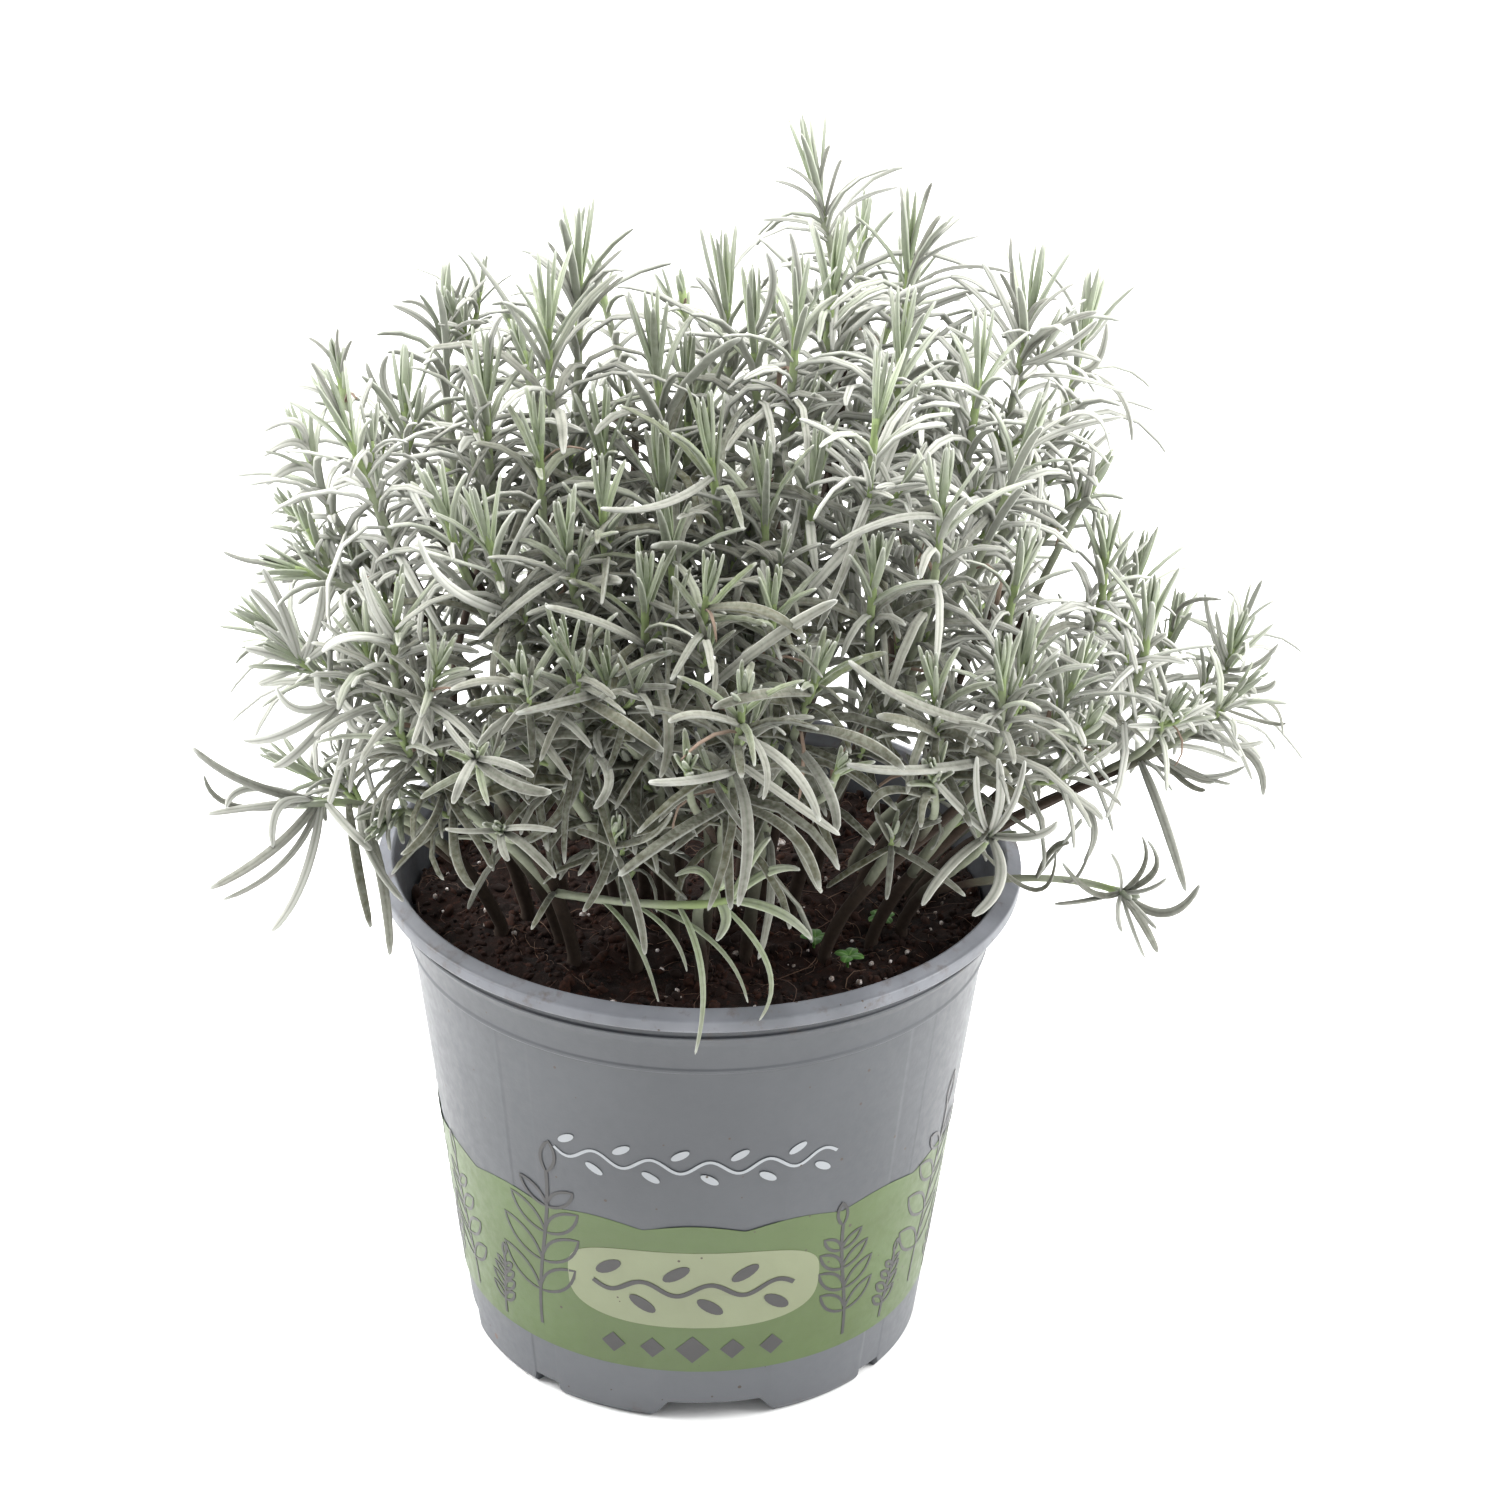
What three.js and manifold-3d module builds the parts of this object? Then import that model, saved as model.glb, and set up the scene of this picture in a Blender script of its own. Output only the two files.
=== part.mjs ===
// A potted curry plant: a tapered nursery pot, the soil in it, weed seedlings, and a bush of woody
// stems that fork into leafy shoots with narrow felted leaves. Millimetres, +Z up.
import * as THREE from "three";
import { mergeVertices } from "three/addons/utils/BufferGeometryUtils.js";
import Module from "manifold-3d";

const wasm = await Module();
wasm.setup();

// Pot
const POT_HEIGHT = 115;
const RIM_RADIUS = 70;
const FOOT_RADIUS = 50;
const WALL = 1.4;
const RIM_BAND_HEIGHT = 2.6;
const COLLAR_HEIGHT = 97.5;
const COLLAR_RADIUS = 64;
const FLOOR_TOP = 5.4;
const FLOOR_UNDERSIDE = 4;
const FOOT_RING_WIDTH = 2.6;
const POT_SIDES = 36;

// Notches in the foot ring and holes in the floor
const NOTCH_TURN = 5.7; // degrees that the front wide notch is turned to the right
const WIDE_NOTCH = { base: 28, top: 20, height: 4.6 };
const NARROW_NOTCH = { base: 7.4, top: 6.4, height: 3 };
const DRAIN_RADIUS = 4;
const DRAIN_RING_RADIUS = 30;

// Soil
const SOIL_LEVEL = 104.5;
const SOIL_GAP = 0.7;
const SOIL_SIDES = 24;
const SOIL_BUMP = 1.1;
const HOLE_DEPTH = 14;
const HOLE_SIDES = 4;
const STEM_GAP = 0.45;

// Stems and leaves
const STEM_SIDES = 3;
const STEM_RADIUS = 1.7;
const TWIG_RADIUS = 1.1;
const SHOOT_END_RADIUS = 0.85;
const YOUNG_LEAF = 14; // length of the youngest leaves
const LONG_LEAF_BELOW = 250; // under this height leaves grow longer
const LEAF_WIDTH = 2.7;
const LEAF_THICKNESS = 1.4;
const LEAF_WIDEST = 0.35; // a leaf is widest at this share of its length
const LEAF_SUNK = 0.1; // a leaf's root lies this far past the middle of its stem
const APEX_REACH = 12; // each shoot ends in a spike of young leaves this long
const LEADER_LEAVES = 6;
const SIDE_LEAVES = 5;
const CLEARANCE = 0.4;
const GOLDEN_ANGLE = 137.5;
const FOCUS_DEPTH = 70; // the stems fan out as if from a point this far under the soil
const LARGEST_STAND = 46; // stems stand in the soil within this radius
const STAND_SPACING = 7;

const UP = new THREE.Vector3(0, 0, 1);

// The photograph's camera, worked out from the ellipses of the pot's rim and foot.
const PHOTO_CENTRE = 750;
const PHOTO_FOCUS = 5390;
const CAMERA_DISTANCE = 1200;
const CAMERA_ELEVATION = 31.44;
const CAMERA_ROLL = 1.12;
const CAMERA_TARGET = new THREE.Vector3(10.5, 0, 139.8);
const CAMERA_PIVOT_HEIGHT = 60;

function radians(degrees) {
  return (degrees * Math.PI) / 180;
}

const camera = (() => {
  const elevation = radians(CAMERA_ELEVATION);
  const roll = radians(CAMERA_ROLL);
  const place = new THREE.Vector3(
    0,
    -CAMERA_DISTANCE * Math.cos(elevation),
    CAMERA_PIVOT_HEIGHT + CAMERA_DISTANCE * Math.sin(elevation),
  );
  const forward = CAMERA_TARGET.clone().sub(place).normalize();
  const level = forward.clone().cross(UP).normalize();
  const above = level.clone().cross(forward);
  const right = level.clone().multiplyScalar(Math.cos(roll)).addScaledVector(above, Math.sin(roll));
  const up = above.clone().multiplyScalar(Math.cos(roll)).addScaledVector(level, -Math.sin(roll));
  return { place, forward, right, up };
})();

// The point seen at column u and row v of the photograph, at a distance near in front of the axis.
function fromPhoto([u, v, near]) {
  const ray = camera.forward
    .clone()
    .addScaledVector(camera.right, (u - PHOTO_CENTRE) / PHOTO_FOCUS)
    .addScaledVector(camera.up, (PHOTO_CENTRE - v) / PHOTO_FOCUS);
  const reach = (-near - camera.place.y) / ray.y;
  return camera.place.clone().addScaledVector(ray, reach);
}

// Each woody stem's shoots: the tip and the foot of the leafy part, as column, row and distance in
// front of the pot's axis. The first shoot is the leader, and the others fork from it.
const SEEN_STEMS = [
  // crown, from left to right
  [
    { tip: [580, 207, -20], foot: [578, 380, -12] },
    { tip: [545, 263, 5], foot: [550, 380, 5] },
    { tip: [512, 300, -10], foot: [530, 385, -2] },
  ],
  [
    { tip: [447, 265, -25], foot: [446, 370, -15] },
    { tip: [482, 327, 5], foot: [488, 440, 10] },
    { tip: [405, 355, -5], foot: [405, 435, 3] },
  ],
  [
    { tip: [328, 324, -12], foot: [346, 405, -5] },
    { tip: [322, 368, 15], foot: [366, 480, 20] },
    { tip: [290, 402, 0], foot: [320, 485, 8] },
  ],
  [
    { tip: [648, 300, 5], foot: [660, 400, 8] },
    { tip: [600, 390, 12], foot: [605, 475, 14] },
    { tip: [690, 345, -8], foot: [688, 430, -4] },
  ],
  [
    { tip: [750, 270, -5], foot: [757, 400, 0] },
    { tip: [725, 262, -30], foot: [727, 330, -25] },
    { tip: [800, 270, 2], foot: [795, 350, 5] },
  ],
  [
    { tip: [801, 121, -35], foot: [830, 245, -28] },
    { tip: [838, 250, -15], foot: [830, 315, -12] },
    { tip: [868, 185, -45], foot: [860, 265, -36] },
  ],
  [
    { tip: [913, 193, -28], foot: [905, 320, -20] },
    { tip: [908, 308, 0], foot: [898, 385, 5] },
    { tip: [883, 352, 25], foot: [870, 480, 28] },
  ],
  [
    { tip: [1043, 245, -22], foot: [1017, 380, -14] },
    { tip: [1095, 272, -40], foot: [1076, 370, -32] },
    { tip: [985, 330, -2], foot: [975, 410, 4] },
  ],
  // middle, from left to right
  [
    { tip: [283, 480, 8], foot: [325, 560, 14] },
    { tip: [240, 552, 20], foot: [330, 580, 20] },
    { tip: [262, 640, 30], foot: [325, 676, 26] },
  ],
  [
    { tip: [400, 560, 50], foot: [394, 650, 45] },
    { tip: [350, 605, 42], foot: [372, 665, 38] },
    { tip: [455, 625, 60], foot: [430, 690, 52] },
  ],
  [
    { tip: [470, 480, 42], foot: [497, 570, 40] },
    { tip: [537, 385, 24], foot: [541, 480, 24] },
    { tip: [432, 470, 32], foot: [455, 545, 34] },
  ],
  [
    { tip: [600, 455, 34], foot: [604, 540, 34] },
    { tip: [660, 430, 20], foot: [664, 510, 22] },
    { tip: [560, 500, 45], foot: [570, 570, 42] },
  ],
  [
    { tip: [765, 445, 30], foot: [765, 525, 30] },
    { tip: [705, 405, 28], foot: [715, 490, 28] },
    { tip: [820, 430, 22], foot: [812, 510, 24] },
  ],
  [
    { tip: [945, 455, 35], foot: [940, 535, 35] },
    { tip: [1040, 400, 8], foot: [1012, 480, 12] },
    { tip: [880, 530, 45], foot: [872, 600, 42] },
  ],
  [
    { tip: [1108, 507, 2], foot: [1104, 580, 2] },
    { tip: [1128, 425, -18], foot: [1085, 500, -12] },
    { tip: [1030, 520, 25], foot: [1012, 600, 26] },
  ],
  [
    { tip: [1182, 588, -12], foot: [1166, 660, -10] },
    { tip: [1148, 528, -12], foot: [1130, 600, -10] },
    { tip: [1155, 575, 12], foot: [1146, 645, 10] },
  ],
  // right side, over the rim
  [
    { tip: [1244, 612, -6], foot: [1226, 670, -8] },
    { tip: [1262, 668, 10], foot: [1222, 708, 4] },
    { tip: [1190, 680, 22], foot: [1160, 730, 14] },
  ],
  [
    { tip: [1100, 618, 32], foot: [1062, 708, 32] },
    { tip: [1035, 605, 38], foot: [1017, 690, 40] },
    { tip: [1115, 690, 45], foot: [1075, 745, 36] },
  ],
  [
    { tip: [1000, 818, 48], foot: [982, 846, 32] },
    { tip: [1146, 900, 34], foot: [1108, 888, 26] },
  ],
  // front, from left to right
  [
    { tip: [285, 800, 30], foot: [335, 802, 30] },
    { tip: [268, 752, 20], foot: [310, 775, 22] },
    { tip: [375, 830, 48], foot: [395, 815, 40] },
  ],
  [
    { tip: [467, 742, 84], foot: [484, 775, 62] },
    { tip: [385, 695, 62], foot: [405, 745, 52] },
    { tip: [492, 818, 80], foot: [508, 838, 58] },
  ],
  [
    { tip: [555, 600, 64], foot: [575, 700, 58] },
    { tip: [520, 640, 72], foot: [526, 700, 62] },
    { tip: [616, 800, 76], foot: [613, 848, 62] },
  ],
  [
    { tip: [645, 545, 52], foot: [645, 625, 50] },
    { tip: [668, 500, 38], foot: [672, 570, 38] },
    { tip: [600, 640, 66], foot: [612, 705, 58] },
  ],
  [
    { tip: [748, 655, 82], foot: [738, 745, 70] },
    { tip: [712, 555, 58], foot: [704, 620, 54] },
    { tip: [685, 740, 88], foot: [690, 795, 68] },
  ],
  [
    { tip: [838, 628, 64], foot: [808, 700, 56] },
    { tip: [775, 560, 52], foot: [772, 630, 48] },
    { tip: [850, 740, 78], foot: [830, 790, 60] },
  ],
  [
    { tip: [1003, 620, 52], foot: [1002, 710, 50] },
    { tip: [925, 640, 58], foot: [938, 712, 52] },
    { tip: [930, 745, 70], foot: [935, 800, 54] },
  ],
  [
    { tip: [742, 868, 72], foot: [704, 900, 52] },
  ],
];

// Weed seedlings on the soil, as column, row and distance in front of the pot's axis.
const SEEDLINGS = [
  [814, 898, 24],
  [880, 890, 14],
  [848, 918, 34],
];
const SEEDLING_HEIGHT = 4;
const SEEDLING_LEAF = 2.4;
const SEEDLING_DEPTH = 4;
const STALK_RADIUS = 0.5;

// The far half is filled by a rule: tiers of shoots, each at a radius and a height, leaning out.
const FAR_SEED = 7;
const FAR_STEMS = 7;
const FAR_TIERS = [
  { radius: 104, height: 160, footRadius: 78, footHeight: 142 },
  { radius: 92, height: 204, footRadius: 72, footHeight: 172 },
  { radius: 64, height: 238, footRadius: 52, footHeight: 204 },
];

// A seeded generator, so that every build draws the same plant.
function makeRandom(seed) {
  let state = Math.imul(seed + 1, 2654435761) >>> 0;
  return () => {
    state = (Math.imul(state, 1664525) + 1013904223) >>> 0;
    return state / 4294967296;
  };
}

function solidOf(geometry) {
  const bare = geometry.clone();
  bare.deleteAttribute("normal");
  bare.deleteAttribute("uv");
  const merged = mergeVertices(bare, 1e-4);
  return new wasm.Manifold(
    new wasm.Mesh({
      numProp: 3,
      vertProperties: merged.attributes.position.array,
      triVerts: new Uint32Array(merged.index.array),
    }),
  );
}

function geometryOf(solid) {
  const mesh = solid.getMesh();
  const geometry = new THREE.BufferGeometry();
  geometry.setAttribute("position", new THREE.BufferAttribute(mesh.vertProperties, 3));
  geometry.setIndex(new THREE.BufferAttribute(mesh.triVerts, 1));
  return geometry;
}

function named(name, geometry, look) {
  const mesh = new THREE.Mesh(geometry, new THREE.MeshStandardMaterial({ ...look, metalness: 0 }));
  mesh.name = name;
  return mesh;
}

// A profile of radius and height points turned about the upright axis.
function turned(profile, sides) {
  const points = profile.map(([radius, height]) => new THREE.Vector2(radius, height));
  return new THREE.LatheGeometry(points, sides).rotateX(Math.PI / 2);
}

// The radius of the pot's inner wall at a height.
function innerRadius(height) {
  const slope = (COLLAR_RADIUS - FOOT_RADIUS) / COLLAR_HEIGHT;
  const straight = FOOT_RADIUS + slope * height - WALL;
  const flare = Math.max(0, height - COLLAR_HEIGHT) / (POT_HEIGHT - COLLAR_HEIGHT);
  return straight + 2.2 * flare * flare;
}

function potProfile() {
  const bandTop = POT_HEIGHT - 1.6;
  const bandFoot = bandTop - RIM_BAND_HEIGHT;
  const ringInside = FOOT_RADIUS - 0.6 - FOOT_RING_WIDTH;
  return [
    [0, FLOOR_UNDERSIDE],
    [ringInside - 0.4, FLOOR_UNDERSIDE],
    [ringInside, 0],
    [FOOT_RADIUS - 0.6, 0],
    [FOOT_RADIUS + 0.4, 1.4],
    [COLLAR_RADIUS - 0.7, COLLAR_HEIGHT - 0.9],
    [COLLAR_RADIUS, COLLAR_HEIGHT],
    [COLLAR_RADIUS + 1.4, COLLAR_HEIGHT + 7],
    [COLLAR_RADIUS + 3.6, bandFoot - 2.2],
    [RIM_RADIUS - 0.9, bandFoot - 1.4],
    [RIM_RADIUS, bandFoot + 0.2],
    [RIM_RADIUS, bandTop],
    [RIM_RADIUS - 1, POT_HEIGHT - 0.3],
    [RIM_RADIUS - 2.4, POT_HEIGHT],
    [innerRadius(POT_HEIGHT), POT_HEIGHT - 0.5],
    [innerRadius(COLLAR_HEIGHT + 9), COLLAR_HEIGHT + 9],
    [innerRadius(COLLAR_HEIGHT), COLLAR_HEIGHT],
    [innerRadius(FLOOR_TOP), FLOOR_TOP],
    [0, FLOOR_TOP],
  ];
}

// A block with sloping ends that cuts through the foot ring at a bearing from the front.
function notch({ base, top, height }, bearing) {
  const depth = 12;
  const drop = 1;
  const spread = ((base - top) / 2) * (drop / height);
  const outline = new THREE.Shape([
    new THREE.Vector2(-base / 2 - spread, -drop),
    new THREE.Vector2(base / 2 + spread, -drop),
    new THREE.Vector2(top / 2, height),
    new THREE.Vector2(-top / 2, height),
  ]);
  const block = new THREE.ExtrudeGeometry(outline, { depth, bevelEnabled: false });
  block.rotateX(Math.PI / 2);
  block.translate(0, -FOOT_RADIUS + depth / 2, 0);
  return solidOf(block.rotateZ(radians(bearing)));
}

function makePot() {
  let pot = solidOf(turned(potProfile(), POT_SIDES));
  for (let quarter = 0; quarter < 4; quarter += 1) {
    const bearing = NOTCH_TURN + quarter * 90;
    pot = pot.subtract(notch(WIDE_NOTCH, bearing));
    pot = pot.subtract(notch(NARROW_NOTCH, bearing + 45));
    const drain = new THREE.CylinderGeometry(DRAIN_RADIUS, DRAIN_RADIUS, 2 * FLOOR_TOP, 8);
    drain.rotateX(Math.PI / 2).translate(DRAIN_RING_RADIUS, 0, FLOOR_TOP);
    pot = pot.subtract(solidOf(drain.rotateZ(radians(bearing + 45))));
  }
  return named("pot", geometryOf(pot), { color: 0x9093a0, roughness: 0.5 });
}

// The height of the soil's top: low waves in two directions, a little higher at the middle.
function soilHeight(x, y) {
  const waves = Math.sin(x * 0.21 + 1) * Math.cos(y * 0.17) + 0.6 * Math.sin(x * 0.09 - y * 0.13);
  return SOIL_LEVEL + SOIL_BUMP * waves - 0.0006 * (x * x + y * y);
}

function soilBody() {
  const floor = FLOOR_TOP + SOIL_GAP;
  const edge = innerRadius(SOIL_LEVEL - 4) - SOIL_GAP;
  const profile = [
    [0, floor],
    [innerRadius(floor) - SOIL_GAP, floor],
    [innerRadius(COLLAR_HEIGHT - 10) - SOIL_GAP, COLLAR_HEIGHT - 10],
    [edge, SOIL_LEVEL],
    [0.78 * edge, SOIL_LEVEL],
    [0.52 * edge, SOIL_LEVEL],
    [0.26 * edge, SOIL_LEVEL],
    [0, SOIL_LEVEL],
  ];
  const body = turned(profile, SOIL_SIDES);
  const position = body.attributes.position;
  for (let i = 0; i < position.count; i += 1) {
    if (position.getZ(i) > SOIL_LEVEL - 0.01) {
      position.setZ(i, soilHeight(position.getX(i), position.getY(i)));
    }
  }
  return solidOf(body);
}

function makeSoil(stands) {
  let soil = soilBody();
  for (const { place, radius, depth } of stands) {
    const width = (radius + STEM_GAP) / Math.cos(Math.PI / HOLE_SIDES);
    const hole = new THREE.CylinderGeometry(width, width, 2 * depth, HOLE_SIDES);
    hole.rotateX(Math.PI / 2).translate(place.x, place.y, place.z);
    soil = soil.subtract(solidOf(hole));
  }
  return named("soil", geometryOf(soil), { color: 0x2b1713, roughness: 1 });
}

// A prism or cone whose points are carried along a chain of centres: across gives its breadth,
// under its depth, and size how wide it is at each share of its length.
function carried(shape, centres, across, size) {
  const position = shape.attributes.position;
  const last = centres.length - 1;
  const point = new THREE.Vector3();
  const frames = framesAlong(centres, across);
  for (let i = 0; i < position.count; i += 1) {
    const share = position.getY(i) + 0.5;
    const ring = Math.round(share * last);
    const { side, below } = frames[ring];
    const [breadth, depth] = size(ring / last, position.getX(i), position.getZ(i));
    point.copy(centres[ring]).addScaledVector(side, breadth).addScaledVector(below, depth);
    position.setXYZ(i, point.x, point.y, point.z);
  }
  return solidOf(shape);
}

// At each centre: a side vector square to the chain, and below, square to both.
function framesAlong(centres, across) {
  return centres.map((_, i) => {
    const before = centres[Math.max(0, i - 1)];
    const after = centres[Math.min(centres.length - 1, i + 1)];
    const along = after.clone().sub(before).normalize();
    const side = across.clone().addScaledVector(along, -across.dot(along)).normalize();
    const below = side.clone().cross(along);
    return { side, below };
  });
}

// A stem through a chain of points that ends in a spike.
function stemSolid(chain, radii) {
  const shape = new THREE.ConeGeometry(1, 1, STEM_SIDES, chain.length - 1);
  const across = new THREE.Vector3(1, 0.13, 0.07);
  const last = chain.length - 1;
  return carried(shape, chain, across, (share, x, z) => {
    if (share === 1) {
      return [0, 0];
    }
    const swell = radii[Math.round(share * last)] / (1 - share);
    return [x * swell, z * swell];
  });
}

// A three-sided leaf, flat on top with a keel under it, pointed at its root and its tip.
function leafSolid(leaf) {
  const shape = new THREE.ConeGeometry(1, 1, 3, 2);
  return carried(shape, leaf.centres, leaf.across, (share, x, z) => {
    if (share !== 0.5) {
      return [0, 0];
    }
    return [(2 * x * LEAF_WIDTH) / 1.73, (2 * z * LEAF_THICKNESS) / 1.5];
  });
}

// The points of a stem that leaves start along heading, and reaches foot along its leafy part.
function bend(start, heading, foot, tip) {
  const reach = start.distanceTo(foot);
  const growth = tip.clone().sub(foot).normalize();
  const first = start.clone().addScaledVector(heading, 0.35 * reach);
  const second = foot.clone().addScaledVector(growth, -0.35 * reach);
  const curve = new THREE.CubicBezierCurve3(start, first, second, foot);
  return [start, curve.getPoint(0.5), foot];
}

function lerpAlong(chain, distance) {
  let left = distance;
  for (let i = chain.length - 1; i > 0; i -= 1) {
    const step = chain[i].distanceTo(chain[i - 1]);
    if (left <= step) {
      const at = chain[i].clone().lerp(chain[i - 1], left / step);
      const along = chain[i].clone().sub(chain[i - 1]).normalize();
      return { at, along };
    }
    left -= step;
  }
  return null;
}

function chainLength(chain) {
  return chain.slice(1).reduce((sum, point, i) => sum + point.distanceTo(chain[i]), 0);
}

// Where a branch stands: below its shoots' feet, on rays that fan out from a point under the soil.
function standOf(shoots) {
  const stand = new THREE.Vector3();
  for (const { foot } of shoots) {
    const share = FOCUS_DEPTH / (foot.z - SOIL_LEVEL + FOCUS_DEPTH);
    stand.x += (foot.x * share) / shoots.length;
    stand.y += (foot.y * share) / shoots.length;
  }
  const radius = Math.hypot(stand.x, stand.y);
  const kept = Math.min(1, LARGEST_STAND / radius);
  stand.x *= kept;
  stand.y *= kept;
  return stand;
}

// Ends a shoot's stem short of its tip, where the youngest leaves take over.
function stemEnd({ tip, foot }) {
  const length = tip.distanceTo(foot);
  const growth = tip.clone().sub(foot).normalize();
  return tip.clone().addScaledVector(growth, -Math.min(APEX_REACH, 0.6 * length));
}

// The chains of centres of a branch: the leader from its hole, and the side shoots from the leader.
function branchChains(shoots, stand) {
  const foot = shoots[0].foot;
  const fan = foot.clone().sub(stand).normalize().add(UP).normalize();
  const rise = stand.clone().addScaledVector(UP, 2);
  const leader = [
    stand.clone().addScaledVector(UP, 0.5 - HOLE_DEPTH),
    ...bend(rise, fan, foot, shoots[0].tip),
    stemEnd(shoots[0]),
    shoots[0].tip,
  ];
  const chains = [leader];
  shoots.slice(1).forEach((shoot, index) => {
    const share = 0.55 + 0.35 * (index % 2);
    const start = leader[1].clone().lerp(leader[2], share);
    const along = leader[2].clone().sub(leader[1]).normalize();
    const heading = shoot.foot.clone().sub(start).normalize().add(along).normalize();
    chains.push([...bend(start, heading, shoot.foot, shoot.tip), stemEnd(shoot), shoot.tip]);
  });
  return chains;
}

function radiiAlong(chain, first) {
  const last = chain.length - 1;
  return chain.map((_, i) => {
    if (i === last) {
      return 0;
    }
    return first + (SHOOT_END_RADIUS - first) * (i / (last - 1));
  });
}

// The far shoots, stem by stem, over the half turn behind the pot's axis.
function farStems() {
  const random = makeRandom(FAR_SEED);
  const spread = (range) => (random() - 0.5) * range;
  return Array.from({ length: FAR_STEMS }, (_, stem) => {
    const bearing = radians(8 + ((stem + 0.5) * 164) / FAR_STEMS);
    return FAR_TIERS.map((tier) => {
      const turn = bearing + radians(spread(16));
      const swell = 1 + spread(0.12);
      const lift = spread(16);
      const at = (radius, height, bearingOff) =>
        new THREE.Vector3(
          radius * swell * Math.cos(turn + bearingOff),
          radius * swell * Math.sin(turn + bearingOff),
          height + lift,
        );
      const lean = radians(spread(14));
      return {
        tip: at(tier.radius, tier.height, lean),
        foot: at(tier.footRadius, tier.footHeight, 0),
      };
    });
  });
}

// Leaf number order of a shoot, turned by a golden angle from the one before: the lower it sits,
// the longer it is, the further it leans out and the more it droops.
function leafOn(shoot, order, turnOff, leanOff, shorten) {
  const down = APEX_REACH + 1 + 3.2 * order + 1 * order * order;
  const place = lerpAlong(shoot.chain, down);
  if (place === null || down > shoot.length - 6) {
    return null;
  }
  const age = Math.min(1, (down - APEX_REACH) / 34);
  const lean = radians(26 + 42 * age + leanOff);
  const turn = radians(order * GOLDEN_ANGLE + shoot.turn + turnOff);
  const vigour = THREE.MathUtils.clamp((LONG_LEAF_BELOW - place.at.z) / 80, 0, 1);
  const growth = (11 + 9 * vigour) * (1 - Math.exp((APEX_REACH - down) / 8));
  const length = (YOUNG_LEAF + growth) * shorten;
  const east = new THREE.Vector3(1, 0.13, 0.07).cross(place.along).normalize();
  const north = place.along.clone().cross(east);
  const out = east.multiplyScalar(Math.cos(turn)).addScaledVector(north, Math.sin(turn));
  const heading = place.along
    .clone()
    .multiplyScalar(Math.cos(lean))
    .addScaledVector(out, Math.sin(lean));
  const droop = 0.03 + 0.22 * age;
  const centres = [-LEAF_SUNK / length, LEAF_WIDEST, 1].map((share) => {
    return place.at
      .clone()
      .addScaledVector(heading, length * share)
      .addScaledVector(UP, -droop * length * share * share);
  });
  return { centres, across: heading.clone().cross(out).normalize() };
}

// The least distance between two straight pieces.
function segmentGap(a, b, c, d) {
  const u = b.clone().sub(a);
  const v = d.clone().sub(c);
  const w = a.clone().sub(c);
  const uu = u.dot(u);
  const uv = u.dot(v);
  const vv = v.dot(v);
  const uw = u.dot(w);
  const vw = v.dot(w);
  const spread = uu * vv - uv * uv;
  let s = spread < 1e-9 ? 0 : THREE.MathUtils.clamp((uv * vw - vv * uw) / spread, 0, 1);
  const t = THREE.MathUtils.clamp((uv * s + vw) / vv, 0, 1);
  s = THREE.MathUtils.clamp((uv * t - uw) / uu, 0, 1);
  return w.addScaledVector(u, s).addScaledVector(v, -t).length();
}

function pieces(chain, radii, branch) {
  return chain.slice(1).map((end, i) => ({
    start: chain[i],
    end,
    radius: Math.max(radii[i], radii[i + 1]),
    box: new THREE.Box3().setFromPoints([chain[i], end]).expandByScalar(radii[i] + CLEARANCE),
    branch,
  }));
}

function touches(piece, others) {
  return others.some((other) => {
    if (other.branch === piece.branch || !other.box.intersectsBox(piece.box)) {
      return false;
    }
    const room = other.radius + piece.radius + CLEARANCE;
    return segmentGap(piece.start, piece.end, other.start, other.end) < room;
  });
}

// True where a leaf would cut into the rim, the wall or the soil.
function meetsPot(centres) {
  for (let i = 0; i <= 8; i += 1) {
    const share = (i / 8) * (centres.length - 1);
    const whole = Math.min(centres.length - 2, Math.floor(share));
    const point = centres[whole].clone().lerp(centres[whole + 1], share - whole);
    const radius = Math.hypot(point.x, point.y);
    const inPot = radius < RIM_RADIUS + 2 && point.z < POT_HEIGHT + 2;
    const overSoil = radius < innerRadius(POT_HEIGHT) - 3 && point.z > SOIL_LEVEL + 4;
    if (inPot && !overSoil) {
      return true;
    }
  }
  return false;
}

// A weed seedling: a thin stalk with four small round leaves on its head.
function makeSeedling(place, index) {
  const foot = place.clone().addScaledVector(UP, 0.5 - SEEDLING_DEPTH);
  const head = place.clone().addScaledVector(UP, SEEDLING_HEIGHT);
  const across = new THREE.Vector3(1, 0, 0);
  const stalk = new THREE.CylinderGeometry(1, 1, 1, 3, 1);
  let body = carried(stalk, [foot, head], across, (share, x, z) => [
    STALK_RADIUS * x,
    STALK_RADIUS * z,
  ]);
  for (let leaf = 0; leaf < 4; leaf += 1) {
    const blade = new THREE.OctahedronGeometry(1).scale(SEEDLING_LEAF, 0.8 * SEEDLING_LEAF, 0.45);
    blade.rotateY(-0.35).translate(0.85 * SEEDLING_LEAF, 0, 0);
    blade.rotateZ(radians(90 * leaf + 35 * index)).translate(head.x, head.y, head.z - 0.4);
    body = body.add(solidOf(blade));
  }
  return named(`seedling_${index + 1}`, geometryOf(body), { color: 0x3f6b23, roughness: 0.7 });
}

// Moves stands that crowd each other apart along the line between them, and sets them on the soil.
function spreadStands(stands) {
  for (let round = 0; round < 20; round += 1) {
    stands.forEach((a, i) => {
      for (const b of stands.slice(i + 1)) {
        const apart = b.clone().sub(a).setZ(0);
        const short = STAND_SPACING - apart.length();
        if (short > 0) {
          apart.setLength(short / 2);
          a.sub(apart);
          b.add(apart);
        }
      }
    });
  }
  return stands.map((stand) => stand.setZ(soilHeight(stand.x, stand.y)));
}

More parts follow.
